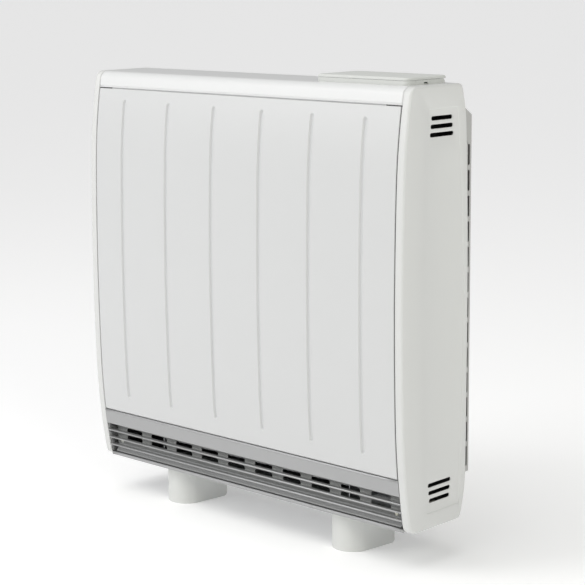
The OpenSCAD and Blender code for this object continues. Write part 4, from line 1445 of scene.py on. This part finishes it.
def screw_sets() -> list[ScrewSet]:
    """The three groups of screws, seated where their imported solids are.

    Returns:
        The groups.
    """
    head, rise = ScrewSet.head_radius, ScrewSet.head_height
    pair_spacing, long_shank = 39.0 * MM, 10.0 * MM
    low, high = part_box("outlet_screws")
    outlet = seats_at((low.x + head, high.x - head), (low.y + rise,), ((low.z + high.z) / 2,))
    low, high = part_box("spacer_screws")
    across, heights = (low.x + head, 0.0, high.x - head), (low.z + head, high.z - head)
    spacer = seats_at(across, (high.y - rise,), heights)
    low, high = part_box("foot_screws")
    outer = high.x - head
    across = (-outer, pair_spacing - outer, outer - pair_spacing, outer)
    foot = seats_at(across, (low.y + head, high.y - head), (low.z + rise,))
    forwards, backwards, down = (QUARTER, 0.0, 0.0), (-QUARTER, 0.0, 0.0), (math.pi, 0.0, 0.0)
    return [
        ScrewSet("outlet_screw_heads", "outlet_screws", outlet, forwards, shank_length=long_shank),
        ScrewSet("spacer_screw_heads", "spacer_screws", spacer, backwards),
        ScrewSet("foot_screw_heads", "foot_screws", foot, down),
    ]


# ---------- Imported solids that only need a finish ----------


@dataclass(frozen=True)
class Dressing:
    """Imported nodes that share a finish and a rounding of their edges."""

    finish: Finish
    nodes: tuple[str, ...]
    rounding: float = 0.3 * MM

    def build(self, frame: dict) -> None:
        """Gives the nodes their finish.
        """
        for name in self.nodes:
            made = frame["nodes"][name]
            made.data.materials.clear()
            made.data.materials.append(self.finish.material())
            if self.rounding:
                soften(made, self.rounding)
            LOG.info("%s: dressed with %s", name, self.finish.name)


DRESSINGS = (
    Dressing(SILVER, ("outlet_grille",), 0.6 * MM),
    Dressing(OUTLET, ("outlet_plate",), 0.2 * MM),
    Dressing(DEFLECTOR, ("outlet_deflector",), 0.2 * MM),
    Dressing(SPACER, ("wall_spacer",), 0.25 * MM),
    # Painted shade: the chassis ends behind the vents are made near black.
    Dressing(CHASSIS_PAINTED_SHADE, ("chassis_end_left", "chassis_end_right")),
    Dressing(
        GALVANISED,
        (
            "back_panel", "wall_bracket", "base_pan", "foot_bracket_left", "foot_bracket_right",
            "core_shelf", "fan_housing", "damper_flap",
        ),
        0.2 * MM,
    ),
    Dressing(FOOT, ("foot_shroud_left", "foot_shroud_right"), 0.8 * MM),
    Dressing(POD, ("control_base", "control_lid"), 0.5 * MM),
    Dressing(DECK, ("control_deck",), 0.15 * MM),
    Dressing(KEYS, ("key_menu", "key_back", "key_up", "key_down", "key_boost")),
    Dressing(GLASS, ("display_window",), 0.1 * MM),
    Dressing(CIRCUIT, ("control_board", "power_board"), 0.1 * MM),
    Dressing(BRICK, tuple(f"brick_row_{k}" for k in range(1, 7)), 1.0 * MM),
    Dressing(
        BOARD,
        tuple(f"insulation_{side}" for side in ("front", "back", "top", "base", "left", "right")),
        0.8 * MM,
    ),
    Dressing(SHEATH, ("element_lower", "element_middle", "element_upper"), 0.0),
    Dressing(BRONZE, ("fan_bearing",), 0.2 * MM),
    Dressing(MOTOR, ("fan_motor",), 0.4 * MM),
    Dressing(ZINC, ("fan_shaft", "damper_pins", "lid_pins"), 0.1 * MM),
    Dressing(FAN, ("fan_impeller",), 0.0),
    Dressing(BIMETAL, ("bimetal_strip",), 0.1 * MM),
    Dressing(TERMINALS, ("terminal_block",)),
    Dressing(CUTOUT, ("limit_cutout",), 0.2 * MM),
    Dressing(RESET, ("reset_button",)),
    Dressing(GLAND, ("cable_gland",)),
)


# ---------- Studio ----------


@dataclass(frozen=True)
class Viewpoint:
    """The photograph's camera, solved from the casing's edges."""

    place: Point = (1.9534, -2.0268, 0.9004)
    azimuth: float = 43.3618
    elevation: float = 10.4962
    roll: float = -0.4664
    focal_pixels: float = 1767.7
    frame_pixels: float = 585.0
    sensor: float = 36.0

    def build(self) -> None:
        """Makes the camera and gives it to the scene."""
        turn, rise, roll = (math.radians(a) for a in (self.azimuth, self.elevation, self.roll))
        level = Vector((math.cos(turn), math.sin(turn), 0.0))
        ahead = Vector((-math.sin(turn), math.cos(turn), 0.0)) * math.cos(rise)
        ahead.z = -math.sin(rise)
        above = level.cross(ahead)
        right = level * math.cos(roll) + above * math.sin(roll)
        up = above * math.cos(roll) - level * math.sin(roll)
        data = bpy.data.cameras.new("viewpoint")
        data.sensor_width = self.sensor
        data.lens = self.focal_pixels / self.frame_pixels * self.sensor
        made = linked("viewpoint", data)
        turned = Matrix((right, up, -ahead)).transposed().to_4x4()
        made.matrix_world = Matrix.Translation(self.place) @ turned
        bpy.context.scene.camera = made


class LampKind(Enum):
    """The two kinds of lamp."""

    SOFTBOX = "AREA"
    SKY = "SUN"


@dataclass(frozen=True)
class Lamp:
    """A lamp that shines from its place towards a point.

    A softbox has a size in metres, and a sky lamp fills an angle of spread degrees.
    """

    name: str
    kind: LampKind
    place: Point
    power: float
    size: Span = (1.0, 1.0)
    spread: float = 0.0
    tint: Colour = WHITE_LIGHT
    aim: Point = (0.0, 0.0, 0.38)

    def build(self) -> None:
        """Makes the lamp."""
        data = bpy.data.lights.new(self.name, self.kind.value)
        data.energy, data.color = self.power, self.tint
        if self.kind is LampKind.SOFTBOX:
            data.shape = "RECTANGLE"
            data.size, data.size_y = self.size
        else:
            data.angle = math.radians(self.spread)
        made = linked(self.name, data)
        made.location = self.place
        made.rotation_mode = "QUATERNION"
        towards = Vector(self.aim) - Vector(self.place)
        made.rotation_quaternion = towards.to_track_quat("-Z", "Y")


OVERHEAD = Lamp(
    "overhead_light", LampKind.SKY, (-0.5, -0.6, 3.0), 1.25, spread=60.0, aim=(0.0, 0.0, 0.0)
)
KEY = Lamp("key_light", LampKind.SOFTBOX, (-1.6, -2.3, 2.05), 41.0, (1.7, 2.5))
SIDE = Lamp(
    "side_light", LampKind.SOFTBOX, (2.8, -1.1, 1.8), 25.0, (1.4, 1.4), tint=(1.0, 1.0, 0.90)
)


@dataclass(frozen=True)
class Studio:
    """A plain pale floor, a surround that darkens upwards, and soft lamps."""

    floor_half: float = 120.0
    floor_colour: Colour = (0.90, 0.90, 0.90)
    floor_tone: float = 0.995
    floor_roughness: float = 0.9
    floor_glow: float = 0.20
    horizon: float = 0.32
    zenith: float = 0.28
    fade: Span = (0.05, 0.75)
    lights: tuple[Lamp, ...] = (OVERHEAD, KEY, SIDE)

    def build(self) -> None:
        """Makes the floor, the surround and the lamps."""
        half = self.floor_half
        corners = [(-half, -half, 0.0), (half, -half, 0.0), (half, half, 0.0), (-half, half, 0.0)]
        floor = mesh_object("studio_floor", corners, [(0, 1, 2, 3)])
        shade = Shade("studio_floor")
        darker = toned(self.floor_colour, self.floor_tone)
        shade.feed(
            shade.shader,
            Base_Color=shade.blend(Pattern(2.0).value(shade), darker, self.floor_colour),
            Roughness=self.floor_roughness,
            Emission_Strength=self.floor_glow,
            Emission_Color=(*WHITE_LIGHT, 1.0),
        )
        floor.data.materials.append(shade.material)
        self.surround()
        bpy.context.scene.view_settings.view_transform = "Standard"
        for light in self.lights:
            light.build()

    def surround(self) -> None:
        """Makes a grey sky that is bright at the horizon and darker overhead."""
        world = bpy.data.worlds.new("surround")
        world.use_nodes = True
        sky = Tree(world.node_tree)
        place = sky.add("ShaderNodeTexCoord").outputs["Generated"]
        height = sky.add("ShaderNodeSeparateXYZ", Vector=place).outputs["Z"]
        strength = sky.spread(height, self.horizon, self.zenith, *self.fade)
        background = world.node_tree.nodes["Background"]
        sky.feed(background, Color=(*WHITE_LIGHT, 1.0), Strength=strength)
        bpy.context.scene.world = world


def main() -> None:
    """Builds the heater's looks, the studio and the camera."""
    logging.basicConfig(level=logging.INFO, format="%(name)s %(message)s")
    for made in list(bpy.data.objects):
        bpy.data.objects.remove(made)
    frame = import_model()
    Viewpoint().build()
    Studio().build()
    casing = Casing.from_frame()
    panel_low, panel_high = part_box("front_panel")
    cover_low, _cover_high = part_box("top_cover")
    FrontPanel(casing, panel_low.z, panel_high.z, panel_high.x).build()
    TopCover(casing, cover_low.z, panel_high.x).build()
    OutletLips(casing).build()
    for end in End:
        SideMoulding(casing, end, panel_high.x + MOULDING_GAP).build()
    for dressing in DRESSINGS:
        dressing.build(frame)
    for screws in screw_sets():
        screws.build()


if __name__ == "__main__":
    main()
